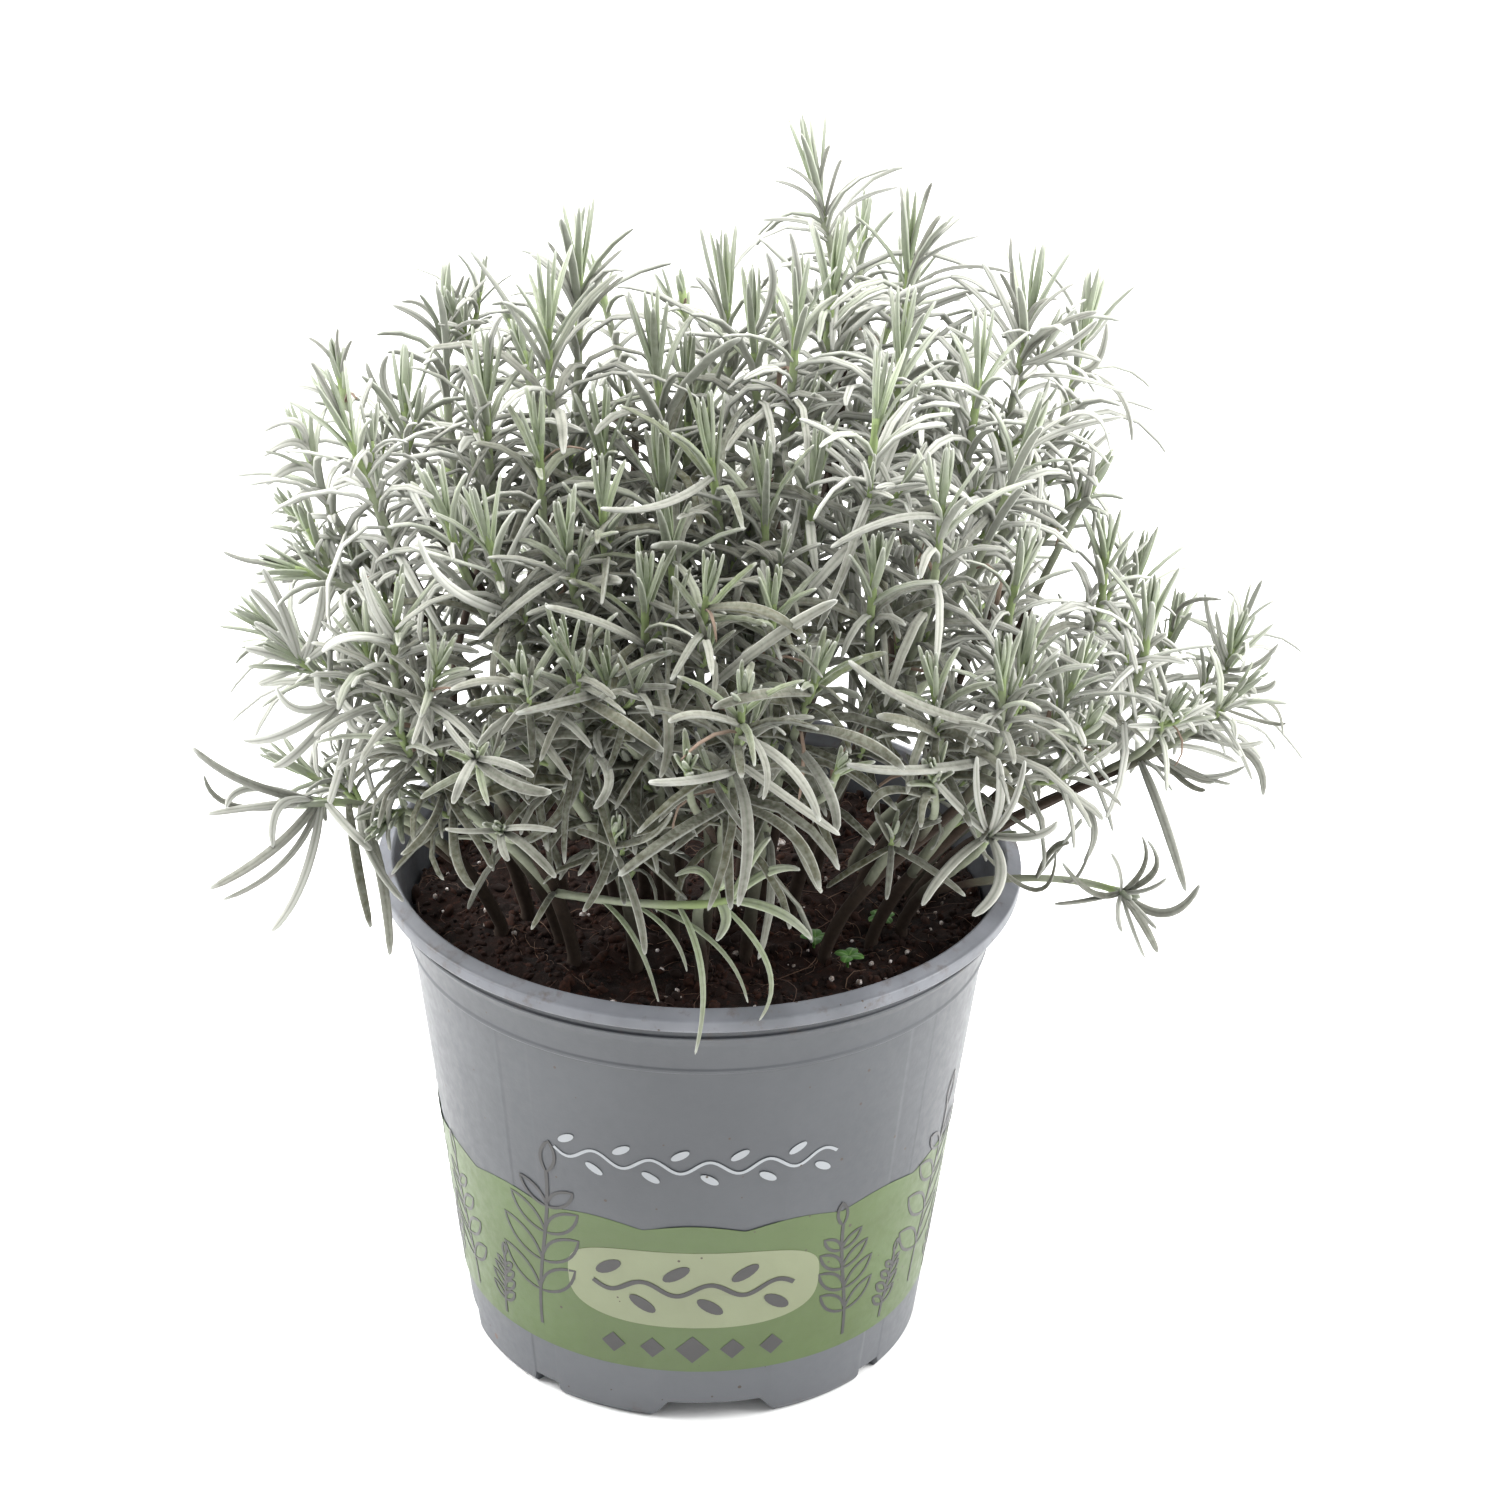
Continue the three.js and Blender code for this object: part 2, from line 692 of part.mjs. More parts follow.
function growBranches(stems) {
  const stands = spreadStands(stems.map(standOf));
  const branches = stems.map((shoots, index) => {
    const stand = stands[index];
    const random = makeRandom(101 + index);
    const chains = branchChains(shoots, stand);
    return {
      stand,
      shoots: chains.map((chain, i) => ({
        chain,
        radii: radiiAlong(chain, i === 0 ? STEM_RADIUS : 1.2 * TWIG_RADIUS),
        length: chainLength(chain) - (i === 0 ? HOLE_DEPTH : 0),
        most: i === 0 ? LEADER_LEAVES : SIDE_LEAVES,
        turn: 360 * random(),
        leaves: [],
      })),
    };
  });
  const taken = branches.flatMap((branch, index) =>
    branch.shoots.flatMap((shoot) => pieces(shoot.chain, shoot.radii, index)),
  );
  for (let order = 0; order < LEADER_LEAVES; order += 1) {
    branches.forEach((branch, index) => {
      for (const shoot of branch.shoots) {
        const leaf = order < shoot.most ? freeLeaf(shoot, order, index, taken) : null;
        if (leaf) {
          shoot.leaves.push(leaf);
        }
      }
    });
  }
  return branches;
}

// The first of a leaf's positions that is clear of every other branch, the pot and the soil.
function freeLeaf(shoot, order, branch, taken) {
  for (const shorten of [1, 0.8]) {
    for (const leanOff of [0, -14, 12]) {
      for (const turnOff of [0, 28, -28, 56, -56, 90, -90]) {
        const leaf = leafOn(shoot, order, turnOff, leanOff, shorten);
        if (leaf === null) {
          return null;
        }
        const radii = leaf.centres.map(() => 0.52 * LEAF_WIDTH);
        const parts = pieces(leaf.centres, radii, branch);
        if (!meetsPot(leaf.centres) && !parts.some((part) => touches(part, taken))) {
          taken.push(...parts);
          return leaf;
        }
      }
    }
  }
  return null;
}

function makeBranch(branch, index) {
  let body = null;
  for (const shoot of branch.shoots) {
    const stem = stemSolid(shoot.chain, shoot.radii);
    body = body === null ? stem : body.add(stem);
    for (const leaf of shoot.leaves) {
      body = body.add(leafSolid(leaf));
    }
  }
  const name = `branch_${String(index + 1).padStart(2, "0")}`;
  return named(name, geometryOf(body), { color: 0xa5ad9f, roughness: 0.9 });
}

const seenStems = SEEN_STEMS.map((shoots) =>
  shoots.map(({ tip, foot }) => ({ tip: fromPhoto(tip), foot: fromPhoto(foot) })),
);
const branches = growBranches([...seenStems, ...farStems()]);

const seedlings = SEEDLINGS.map((seen) => {
  const place = fromPhoto(seen);
  return place.setZ(soilHeight(place.x, place.y));
});

const plant = new THREE.Group();
plant.add(makePot());
plant.add(
  makeSoil([
    ...branches.map(({ stand }) => ({ place: stand, radius: STEM_RADIUS, depth: HOLE_DEPTH })),
    ...seedlings.map((place) => ({ place, radius: STALK_RADIUS, depth: SEEDLING_DEPTH })),
  ]),
);
branches.forEach((branch, index) => plant.add(makeBranch(branch, index)));
seedlings.forEach((place, index) => plant.add(makeSeedling(place, index)));

// The origin lies at the middle of the whole plant's width and depth, at the foot of the pot.
const box = new THREE.Box3().setFromObject(plant);
const middle = box.getCenter(new THREE.Vector3());
plant.position.set(-middle.x, -middle.y, -box.min.z);

export default plant;
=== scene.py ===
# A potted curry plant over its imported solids: a printed nursery pot, peat soil with perlite and
# roots, weed seedlings, and a bush of woody stems with felted needle leaves.
# Shapes are worked out in millimetres about the pot's axis, with the front at -Y.
import math

import bpy
import numpy as np
from mathutils import Matrix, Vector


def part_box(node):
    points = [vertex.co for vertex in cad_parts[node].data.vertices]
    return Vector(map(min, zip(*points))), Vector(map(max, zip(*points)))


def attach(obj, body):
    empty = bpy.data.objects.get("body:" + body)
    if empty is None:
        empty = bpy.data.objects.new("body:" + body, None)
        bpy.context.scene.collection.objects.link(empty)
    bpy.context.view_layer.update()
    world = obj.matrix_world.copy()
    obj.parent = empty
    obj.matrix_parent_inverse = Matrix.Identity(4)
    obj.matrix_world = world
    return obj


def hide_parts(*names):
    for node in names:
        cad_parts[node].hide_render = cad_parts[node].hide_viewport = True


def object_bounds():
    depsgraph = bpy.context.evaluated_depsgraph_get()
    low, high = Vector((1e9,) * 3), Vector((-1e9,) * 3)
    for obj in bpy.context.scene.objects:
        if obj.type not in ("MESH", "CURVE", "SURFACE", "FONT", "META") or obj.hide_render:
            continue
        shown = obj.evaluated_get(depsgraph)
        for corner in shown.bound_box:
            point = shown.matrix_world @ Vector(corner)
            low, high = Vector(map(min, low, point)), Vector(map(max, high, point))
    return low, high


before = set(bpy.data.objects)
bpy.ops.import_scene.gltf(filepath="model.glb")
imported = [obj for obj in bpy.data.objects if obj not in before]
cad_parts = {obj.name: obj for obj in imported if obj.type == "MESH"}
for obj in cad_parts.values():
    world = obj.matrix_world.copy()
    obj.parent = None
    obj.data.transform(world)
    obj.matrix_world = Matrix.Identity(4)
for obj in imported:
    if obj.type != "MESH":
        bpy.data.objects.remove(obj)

MM = 0.001
UP = np.array([0.0, 0.0, 1.0])
GOLDEN_ANGLE = 137.5

cad_box = [list(corner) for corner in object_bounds()]
pot_box = np.array([list(corner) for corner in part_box("pot")])
POT_AXIS = np.array([*pot_box.mean(axis=0)[:2], 0.0]) / MM

# Pot
POT_HEIGHT = 115
RIM_RADIUS = 70
FOOT_RADIUS = 50
WALL = 1.4
RIM_BAND_HEIGHT = 2.6
COLLAR_HEIGHT = 97.5
COLLAR_RADIUS = 63.4
FLOOR_TOP = 5.4
FLOOR_UNDERSIDE = 4
FOOT_RING_WIDTH = 2.6
NOTCH_TURN = 5.7
WIDE_NOTCH = {"base": 28, "top": 20, "height": 4.6, "turn": 0}
NARROW_NOTCH = {"base": 7.4, "top": 6.4, "height": 3, "turn": 45}
NOTCHES = (WIDE_NOTCH, NARROW_NOTCH)
DRAIN_RADIUS = 4
DRAIN_RING_RADIUS = 30

# Soil
SOIL_LEVEL = 104.5
SOIL_GAP = 0.7
SOIL_BUMP = 1.1
HOLE_DEPTH = 14
LITTER_SEED = 31

# Stems
STEM_RADIUS = 1.7
TWIG_RADIUS = 1.32
SHOOT_END_RADIUS = 0.8
APEX_REACH = 14
FOCUS_DEPTH = 70
LARGEST_STAND = 46
STAND_SPACING = 7
LEADER_STEPS = 20
FORK_SHARES = (0.275, 0.45)
THIN_TWIG_RADIUS = 0.9
# Which share of a leader bears leaves, and the height below which shoots have few.
LEAFY_SHARE = 0.62
BARE_HEIGHT = 137
# A direction that no stem runs along.
OFF_AXIS = (1, 0.13, 0.07)

# The photograph's camera: its focus is in pixels
PHOTO_SIZE = 1500
PHOTO_FOCUS = 5390
CAMERA_DISTANCE = 1200
CAMERA_ELEVATION = math.radians(31.44)
CAMERA_ROLL = math.radians(1.12)
CAMERA_TARGET = np.array([10.5, 0.0, 139.8])
CAMERA_PIVOT_HEIGHT = 60
SENSOR_WIDTH = 36

# Each woody stem's shoots: the tip and the foot of the leafy part, as column, row and distance in
# front of the pot's axis. The first shoot is the leader, and the others fork from it.
SEEN_STEMS = [
    # crown, from left to right
    [((580, 207, -20), (578, 380, -12)), ((545, 263, 5), (550, 380, 5)), ((512, 300, -10), (530, 385, -2))],
    [((447, 265, -25), (446, 370, -15)), ((482, 327, 5), (488, 440, 10)), ((405, 355, -5), (405, 435, 3))],
    [((328, 324, -12), (346, 405, -5)), ((322, 368, 15), (366, 480, 20)), ((290, 402, 0), (320, 485, 8))],
    [((648, 300, 5), (660, 400, 8)), ((600, 390, 12), (605, 475, 14)), ((690, 345, -8), (688, 430, -4))],
    [((750, 270, -5), (757, 400, 0)), ((725, 262, -30), (727, 330, -25)), ((800, 270, 2), (795, 350, 5))],
    [
        ((801, 121, -35), (830, 245, -28)),
        ((838, 250, -15), (830, 315, -12)),
        ((868, 185, -45), (860, 265, -36)),
    ],
    [((913, 193, -28), (905, 320, -20)), ((908, 308, 0), (898, 385, 5)), ((883, 352, 25), (870, 480, 28))],
    [
        ((1043, 245, -22), (1017, 380, -14)),
        ((1095, 272, -40), (1076, 370, -32)),
        ((985, 330, -2), (975, 410, 4)),
    ],
    # middle, from left to right
    [((283, 480, 8), (325, 560, 14)), ((240, 552, 20), (330, 580, 20)), ((262, 640, 30), (325, 676, 26))],
    [((400, 560, 50), (394, 650, 45)), ((350, 605, 42), (372, 665, 38)), ((455, 625, 60), (430, 690, 52))],
    [((470, 480, 42), (497, 570, 40)), ((537, 385, 24), (541, 480, 24)), ((432, 470, 32), (455, 545, 34))],
    [((600, 455, 34), (604, 540, 34)), ((660, 430, 20), (664, 510, 22)), ((560, 500, 45), (570, 570, 42))],
    [((765, 445, 30), (765, 525, 30)), ((705, 405, 28), (715, 490, 28)), ((820, 430, 22), (812, 510, 24))],
    [((945, 455, 35), (940, 535, 35)), ((1040, 400, 8), (1012, 480, 12)), ((880, 530, 45), (872, 600, 42))],
    [
        ((1108, 507, 2), (1104, 580, 2)),
        ((1128, 425, -18), (1085, 500, -12)),
        ((1030, 520, 25), (1012, 600, 26)),
    ],
    [
        ((1182, 588, -12), (1166, 660, -10)),
        ((1148, 528, -12), (1130, 600, -10)),
        ((1155, 575, 12), (1146, 645, 10)),
    ],
    # right side, over the rim
    [
        ((1244, 612, -6), (1226, 670, -8)),
        ((1262, 668, 10), (1222, 708, 4)),
        ((1190, 680, 22), (1160, 730, 14)),
    ],
    [
        ((1100, 618, 32), (1062, 708, 32)),
        ((1035, 605, 38), (1017, 690, 40)),
        ((1115, 690, 45), (1075, 745, 36)),
    ],
    [((1000, 818, 48), (982, 846, 32)), ((1146, 900, 34), (1108, 888, 26))],
    # front, from left to right
    [((285, 800, 30), (335, 802, 30)), ((268, 752, 20), (310, 775, 22)), ((375, 830, 48), (395, 815, 40))],
    [((467, 742, 84), (484, 775, 62)), ((385, 695, 62), (405, 745, 52)), ((492, 818, 80), (508, 838, 58))],
    [((555, 600, 64), (575, 700, 58)), ((520, 640, 72), (526, 700, 62)), ((616, 800, 76), (613, 848, 62))],
    [((645, 545, 52), (645, 625, 50)), ((668, 500, 38), (672, 570, 38)), ((600, 640, 66), (612, 705, 58))],
    [((748, 655, 82), (738, 745, 70)), ((712, 555, 58), (704, 620, 54)), ((685, 740, 88), (690, 795, 68))],
    [((838, 628, 64), (808, 700, 56)), ((775, 560, 52), (772, 630, 48)), ((850, 740, 78), (830, 790, 60))],
    [
        ((1003, 620, 52), (1002, 710, 50)),
        ((925, 640, 58), (938, 712, 52)),
        ((930, 745, 70), (935, 800, 54)),
    ],
    [((742, 868, 72), (704, 900, 52))],
]
# Bare twigs that lie low: the number of their stem and the points that they pass.
LOW_TWIGS = [(21, [(555, 892, 37), (606, 898, 52), (672, 907, 58), (730, 900, 62)])]
# Shoots with few leaves, by the numbers of their stem and of the shoot: how far down leaves stand,
# and how long the longest are.
OPEN_SHOOTS = {
    (1, 3): (18, 13),
    (2, 3): (36, 22),
    (3, 1): (26, 14),
    (3, 3): (30, 20),
    (6, 1): (70, 27),
    (6, 3): (36, 16),
    (9, 1): (18, 11),
    (9, 2): (22, 17),
    (9, 3): (28, 22),
    (15, 2): (12, 9),
    (17, 1): (26, 24),
    (17, 2): (17, 22),
    (17, 3): (14, 18),
    (18, 1): (24, 22),
    (18, 3): (13, 14),
    (19, 1): (9, 12),
    (19, 2): (5, 9),
    (20, 1): (7, 12),
    (20, 2): (14, 14),
    (20, 3): (10, 14),
    (21, 1): (14, 14),
    (21, 3): (8, 11),
    (22, 3): (7, 12),
    (24, 3): (8, 14),
    (25, 3): (8, 14),
    (26, 1): (32, 22),
    (26, 3): (9, 16),
    (27, 1): (5, 9),
    (28, 2): (24, 12),
    (30, 3): (20, 11),
    (31, 3): (14, 9),
    (32, 3): (26, 12),
    (33, 3): (10, 8),
    (34, 2): (24, 13),
    (34, 3): (26, 12),
}
SEEDLINGS = [(814, 898, 24), (880, 890, 14), (848, 918, 34)]

# Long leaves that stand out: the number of their stem, where they start, pass and end, their
# half-width in millimetres, and how thick their felt is, a value into which the light and shade
# that fall on each leaf are also painted.
YOUNG_LEAVES = [
    # on the trailing shoot at the front, some over the rim
    (21, (592, 899, 50), (636, 941, 60), (659, 1006, 67), 0.55, 0.5),
    (21, (638, 906, 54), (669, 932, 62), (687, 972, 66), 0.5, 0.6),
    (21, (653, 906, 54), (716, 945, 62), (748, 1004, 67), 0.55, 0.5),
    (21, (690, 908, 54), (702, 975, 70), (695, 1055, 75), 0.7, 0.6),
    (21, (726, 908, 56), (768, 966, 69), (759, 1021, 74), 0.6, 0.6),
    (21, (732, 894, 56), (778, 912, 64), (812, 940, 66), 1.05, 0.8),
    (21, (732, 890, 56), (768, 872, 62), (800, 870, 68), 0.95, 0.8),
    (21, (730, 900, 56), (726, 920, 64), (716, 941, 66), 1.1, 0.8),
    (21, (722, 892, 54), (702, 872, 58), (675, 876, 62), 0.85, 0.5),
    (21, (735, 886, 58), (755, 856, 62), (770, 838, 66), 0.85, 0.5),
]
LONG_LEAVES = [
    # at the front, from left to right
    (21, (478, 757, 80), (507, 764, 88), (534, 777, 92), 0.9, 0.5),
    (21, (476, 760, 80), (512, 784, 90), (552, 792, 92), 1.1, 0.3),
    (21, (474, 758, 80), (463, 778, 90), (453, 804, 90), 0.9, 0.6),
    (21, (474, 756, 80), (457, 738, 90), (443, 718, 92), 0.85, 0.5),
    (21, (500, 830, 67), (526, 827, 78), (557, 831, 82), 0.8, 0.6),
    (21, (500, 830, 67), (530, 850, 78), (556, 878, 80), 0.9, 0.4),
    (21, (498, 830, 67), (502, 846, 76), (509, 861, 80), 0.8, 0.6),
    (21, (496, 830, 67), (470, 831, 76), (445, 829, 80), 0.7, 0.5),
    (21, (455, 801, 44), (456, 856, 64), (475, 890, 72), 0.95, 0.1),
    (21, (440, 790, 46), (428, 830, 62), (401, 855, 64), 0.85, 0.1),
    (21, (450, 800, 46), (476, 838, 60), (492, 868, 66), 0.9, 0.1),
    (22, (580, 740, 58), (566, 805, 70), (519, 843, 74), 1.3, 0.05),
    (22, (588, 752, 56), (609, 776, 76), (594, 809, 80), 0.95, 0.5),
    (22, (613, 845, 63), (602, 880, 74), (583, 912, 76), 0.8, 0.05),
    (22, (613, 845, 63), (594, 836, 72), (575, 830, 74), 0.75, 0.1),
    (22, (614, 845, 63), (650, 836, 74), (672, 812, 76), 0.85, 0.1),
    (22, (614, 848, 62), (636, 905, 70), (645, 955, 72), 0.8, 0.3),
    (21, (555, 893, 37), (547, 902, 54), (531, 930, 56), 0.65, 0.1),
    (24, (729, 804, 59), (672, 836, 82), (618, 876, 88), 1.35, 0.1),
    (24, (735, 771, 68), (692, 780, 86), (648, 782, 92), 1.1, 0.7),
    (24, (735, 771, 68), (748, 832, 84), (738, 907, 84), 1.15, 0.55),
    (24, (741, 728, 74), (765, 762, 88), (763, 800, 90), 0.75, 0.6),
    (24, (740, 738, 72), (792, 770, 88), (820, 822, 92), 1.1, 0.65),
    (24, (728, 808, 60), (790, 832, 80), (820, 890, 82), 1.05, 0.1),
    (24, (741, 730, 74), (700, 714, 88), (668, 722, 92), 1.05, 0.3),
    (22, (574, 700, 59), (620, 720, 76), (664, 752, 82), 1.1, 0.1),
    (25, (790, 745, 54), (828, 790, 80), (836, 832, 84), 1.05, 0.5),
    (25, (797, 727, 55), (856, 738, 80), (905, 770, 84), 1.15, 0.1),
    (25, (809, 697, 58), (764, 694, 76), (712, 708, 80), 1.1, 0.2),
    (26, (985, 762, 50), (912, 770, 70), (846, 764, 76), 1.25, 0.65),
    (26, (998, 735, 52), (916, 704, 66), (848, 660, 72), 1.2, 0.35),
    (26, (926, 790, 52), (890, 790, 66), (868, 812, 70), 0.9, 0.1),
    (26, (930, 786, 54), (924, 800, 66), (921, 828, 70), 0.9, 0.1),
    (26, (938, 750, 52), (916, 724, 66), (876, 716, 72), 1.1, 0.15),
    (25, (772, 805, 46), (800, 850, 70), (822, 893, 74), 0.9, 0.3),
    # among the middle rosettes
    (24, (702, 690, 50), (770, 640, 66), (838, 600, 72), 1.15, 0.4),
    (23, (612, 690, 60), (570, 700, 70), (515, 714, 76), 1.1, 0.4),
    (23, (646, 640, 50), (600, 622, 66), (545, 606, 70), 1.05, 0.3),
    (24, (704, 610, 55), (760, 610, 66), (806, 640, 70), 1.1, 0.1),
    (23, (646, 650, 50), (668, 720, 68), (660, 778, 72), 1.0, 0.3),
    (22, (525, 690, 64), (492, 680, 72), (450, 690, 74), 1.0, 0.3),
    (13, (713, 476, 28), (660, 505, 48), (600, 508, 54), 1.0, 0.5),
    (12, (571, 570, 42), (524, 600, 54), (478, 640, 58), 1.0, 0.4),
    (14, (941, 520, 36), (890, 520, 50), (830, 548, 54), 1.0, 0.5),
    # on the crown, from left to right
    (3, (322, 440, 8), (296, 422, 8), (264, 431, 8), 1.05, 0.9),
    (3, (324, 455, 8), (295, 442, 8), (263, 456, 8), 1.05, 0.9),
    (3, (328, 478, 10), (298, 466, 8), (266, 485, 8), 1.1, 0.8),
    (3, (332, 498, 12), (312, 492, 10), (288, 506, 8), 1.0, 0.7),
    (3, (345, 440, 5), (362, 405, 6), (372, 378, 6), 0.8, 0.9),
    (2, (396, 430, 0), (380, 395, 0), (366, 362, 0), 0.8, 0.9),
    (2, (400, 425, 0), (384, 385, 0), (388, 355, 0), 0.8, 0.9),
    (4, (645, 370, 5), (640, 330, 5), (628, 290, 5), 0.8, 0.9),
    (5, (735, 330, -20), (715, 300, -25), (695, 276, -25), 0.8, 0.9),
    (5, (758, 330, 0), (772, 290, 0), (766, 252, 0), 0.8, 0.9),
    (5, (795, 320, 2), (798, 275, 2), (790, 232, 2), 0.8, 0.9),
    (7, (905, 330, -20), (942, 302, -18), (978, 290, -18), 0.75, 0.9),
    (3, (340, 372, -8), (325, 350, -9), (307, 337, -10), 0.45, 0.5),
    (3, (342, 378, -7), (345, 355, -8), (352, 340, -9), 0.45, 0.5),
    (3, (341, 370, -8), (337, 345, -9), (338, 328, -10), 0.4, 0.5),
    (3, (345, 430, 18), (325, 395, 16), (290, 387, 14), 0.6, 0.9),
    (3, (335, 400, 17), (325, 385, 17), (311, 362, 16), 0.6, 0.5),
    (2, (440, 350, -17), (425, 322, -16), (392, 305, -16), 0.7, 0.8),
    (2, (442, 345, -17), (428, 310, -18), (401, 302, -18), 0.5, 0.8),
    (2, (450, 330, -19), (462, 305, -19), (487, 278, -20), 0.5, 0.7),
    (2, (447, 330, -19), (455, 300, -20), (464, 275, -21), 0.45, 0.4),
    (2, (443, 330, -19), (440, 300, -20), (436, 280, -21), 0.5, 0.7),
    (2, (452, 345, -17), (462, 325, -15), (487, 324, -14), 0.5, 0.5),
    (2, (485, 400, 6), (490, 345, 6), (503, 315, 5), 0.6, 0.8),
    (2, (452, 345, -16), (505, 330, -10), (545, 380, -6), 0.5, 0.8),
    (1, (578, 310, -15), (565, 270, -15), (547, 241, -16), 0.6, 0.3),
    (1, (577, 320, -14), (560, 280, -14), (530, 254, -14), 0.75, 0.8),
    (1, (584, 300, -15), (600, 270, -15), (623, 249, -15), 0.5, 0.5),
    (1, (584, 310, -15), (590, 285, -14), (600, 274, -14), 0.8, 0.3),
    (1, (585, 330, -14), (598, 300, -13), (624, 276, -12), 0.55, 0.4),
    (1, (576, 345, -13), (562, 318, -12), (553, 306, -11), 0.9, 0.3),
    (1, (574, 360, -12), (548, 302, -10), (509, 296, -8), 0.5, 0.7),
    (1, (576, 300, -16), (570, 280, -16), (562, 267, -16), 0.8, 0.3),
    (6, (829, 215, -30), (812, 185, -28), (785, 166, -28), 0.5, 0.6),
    (6, (829, 225, -30), (808, 195, -28), (773, 180, -28), 0.55, 0.7),
    (6, (830, 215, -30), (835, 175, -30), (842, 160, -30), 0.45, 0.7),
    (6, (831, 215, -30), (843, 190, -28), (868, 172, -28), 0.5, 0.7),
    (6, (829, 240, -29), (805, 222, -26), (762, 220, -24), 0.5, 0.8),
    (6, (836, 240, -28), (850, 205, -26), (899, 187, -25), 0.5, 0.8),
    (6, (825, 190, -31), (824, 160, -32), (830, 145, -33), 0.5, 0.4),
    (7, (908, 290, -22), (952, 268, -18), (1012, 273, -16), 0.45, 0.6),
    (7, (908, 298, -20), (950, 276, -16), (990, 294, -14), 0.6, 0.8),
    (7, (910, 285, -22), (925, 240, -20), (941, 215, -20), 0.75, 0.3),
    (7, (912, 280, -22), (930, 245, -20), (962, 216, -18), 0.55, 0.9),
    (7, (912, 290, -22), (930, 255, -20), (980, 236, -18), 0.45, 0.9),
    (7, (912, 235, -25), (922, 210, -26), (932, 182, -26), 0.55, 0.4),
    (7, (903, 235, -25), (904, 210, -25), (900, 186, -26), 0.5, 0.7),
    (8, (1019, 345, -18), (1013, 290, -20), (1011, 236, -22), 0.55, 0.6),
    (8, (1015, 350, -17), (1003, 300, -16), (982, 262, -16), 0.8, 0.9),
    (8, (1018, 330, -18), (1012, 295, -17), (1000, 273, -17), 0.5, 0.4),
    (8, (1022, 345, -17), (1032, 310, -16), (1058, 299, -16), 0.6, 0.4),
    (8, (1024, 350, -17), (1040, 310, -14), (1075, 283, -12), 0.5, 0.7),
    (8, (1022, 362, -16), (1055, 328, -12), (1098, 312, -10), 0.7, 0.5),
    (8, (1026, 368, -14), (1062, 348, -10), (1098, 320, -8), 0.8, 0.9),
    (8, (1008, 378, -14), (990, 330, -10), (966, 293, -8), 0.55, 0.9),
    (8, (1005, 385, -12), (985, 350, -6), (945, 326, -2), 0.6, 0.8),
    (8, (1080, 335, -36), (1070, 300, -36), (1046, 270, -36), 0.4, 0.9),
    (8, (1085, 350, -34), (1095, 335, -32), (1112, 312, -32), 0.5, 0.9),
    (8, (1020, 395, -12), (1064, 376, -6), (1128, 394, -2), 0.55, 0.9),
    (8, (1076, 372, -30), (1118, 392, -22), (1132, 442, -18), 0.55, 0.8),
    (8, (1012, 355, -16), (985, 302, -16), (950, 277, -16), 0.75, 0.9),
    (8, (1078, 380, -30), (1098, 360, -28), (1107, 322, -28), 0.85, 0.9),
    (14, (1015, 458, 12), (1060, 432, 16), (1124, 417, 16), 0.7, 0.8),
    (14, (1018, 445, 12), (1084, 412, 18), (1110, 451, 18), 0.6, 0.8),
    (15, (1082, 508, -10), (1090, 480, -8), (1094, 447, -8), 0.8, 0.8),
    # on the rosette at the left, below the rim
    (20, (315, 800, 32), (244, 781, 38), (192, 747, 38), 1.1, 0.4),
    (20, (300, 795, 28), (262, 806, 34), (207, 814, 36), 0.95, 0.7),
    (20, (300, 795, 28), (252, 788, 36), (226, 808, 40), 0.8, 0.9),
    (20, (300, 800, 28), (236, 806, 34), (204, 775, 36), 0.6, 0.4),
    (20, (305, 800, 30), (280, 806, 38), (273, 848, 42), 0.9, 1.0),
    (20, (318, 802, 30), (272, 850, 42), (209, 889, 46), 1.1, 0.4),
    (20, (320, 802, 30), (284, 862, 42), (222, 900, 46), 0.8, 0.5),
    (20, (322, 802, 30), (303, 880, 44), (271, 932, 46), 1.0, 0.8),
    (20, (325, 802, 30), (350, 830, 44), (372, 850, 46), 0.95, 0.9),
    (20, (360, 805, 32), (370, 852, 46), (404, 902, 48), 0.95, 0.8),
    (20, (350, 805, 32), (358, 868, 46), (371, 928, 46), 1.0, 0.1),
    (20, (365, 805, 32), (382, 880, 46), (390, 956, 46), 1.0, 0.4),
    (9, (290, 566, 12), (268, 562, 20), (222, 551, 24), 0.8, 0.5),
    (9, (305, 645, 26), (283, 610, 28), (262, 568, 28), 0.95, 0.9),
    (9, (303, 650, 26), (278, 620, 28), (250, 588, 28), 1.0, 1.0),
    (9, (301, 656, 26), (280, 640, 28), (254, 622, 28), 0.9, 1.0),
    (9, (299, 662, 26), (275, 655, 28), (245, 648, 28), 0.95, 1.0),
    (9, (300, 668, 26), (280, 675, 28), (257, 684, 28), 0.85, 0.9),
    (9, (305, 655, 26), (318, 620, 28), (322, 586, 28), 0.95, 1.0),
    (9, (305, 660, 26), (335, 640, 30), (358, 630, 30), 0.9, 0.9),
    (9, (335, 735, 30), (305, 710, 36), (276, 688, 36), 0.95, 1.0),
    (9, (335, 738, 30), (290, 731, 36), (243, 740, 36), 0.95, 1.0),
    (9, (335, 742, 30), (300, 750, 36), (272, 766, 36), 0.95, 0.9),
    (9, (335, 738, 30), (352, 726, 38), (375, 727, 38), 0.9, 1.0),
    (9, (335, 745, 30), (338, 775, 38), (329, 802, 38), 0.95, 0.9),
    (9, (335, 735, 30), (325, 700, 36), (317, 670, 36), 0.9, 1.0),
    (10, (398, 640, 46), (374, 606, 56), (362, 566, 58), 1.0, 1.0),
    (11, (490, 622, 42), (447, 584, 56), (418, 532, 58), 1.25, 1.0),
    (10, (398, 645, 46), (352, 636, 56), (322, 652, 58), 1.0, 1.0),
    # at the right, round the rim
    (19, (1121, 892, 29), (1088, 900, 36), (1054, 904, 38), 0.65, 0.4),
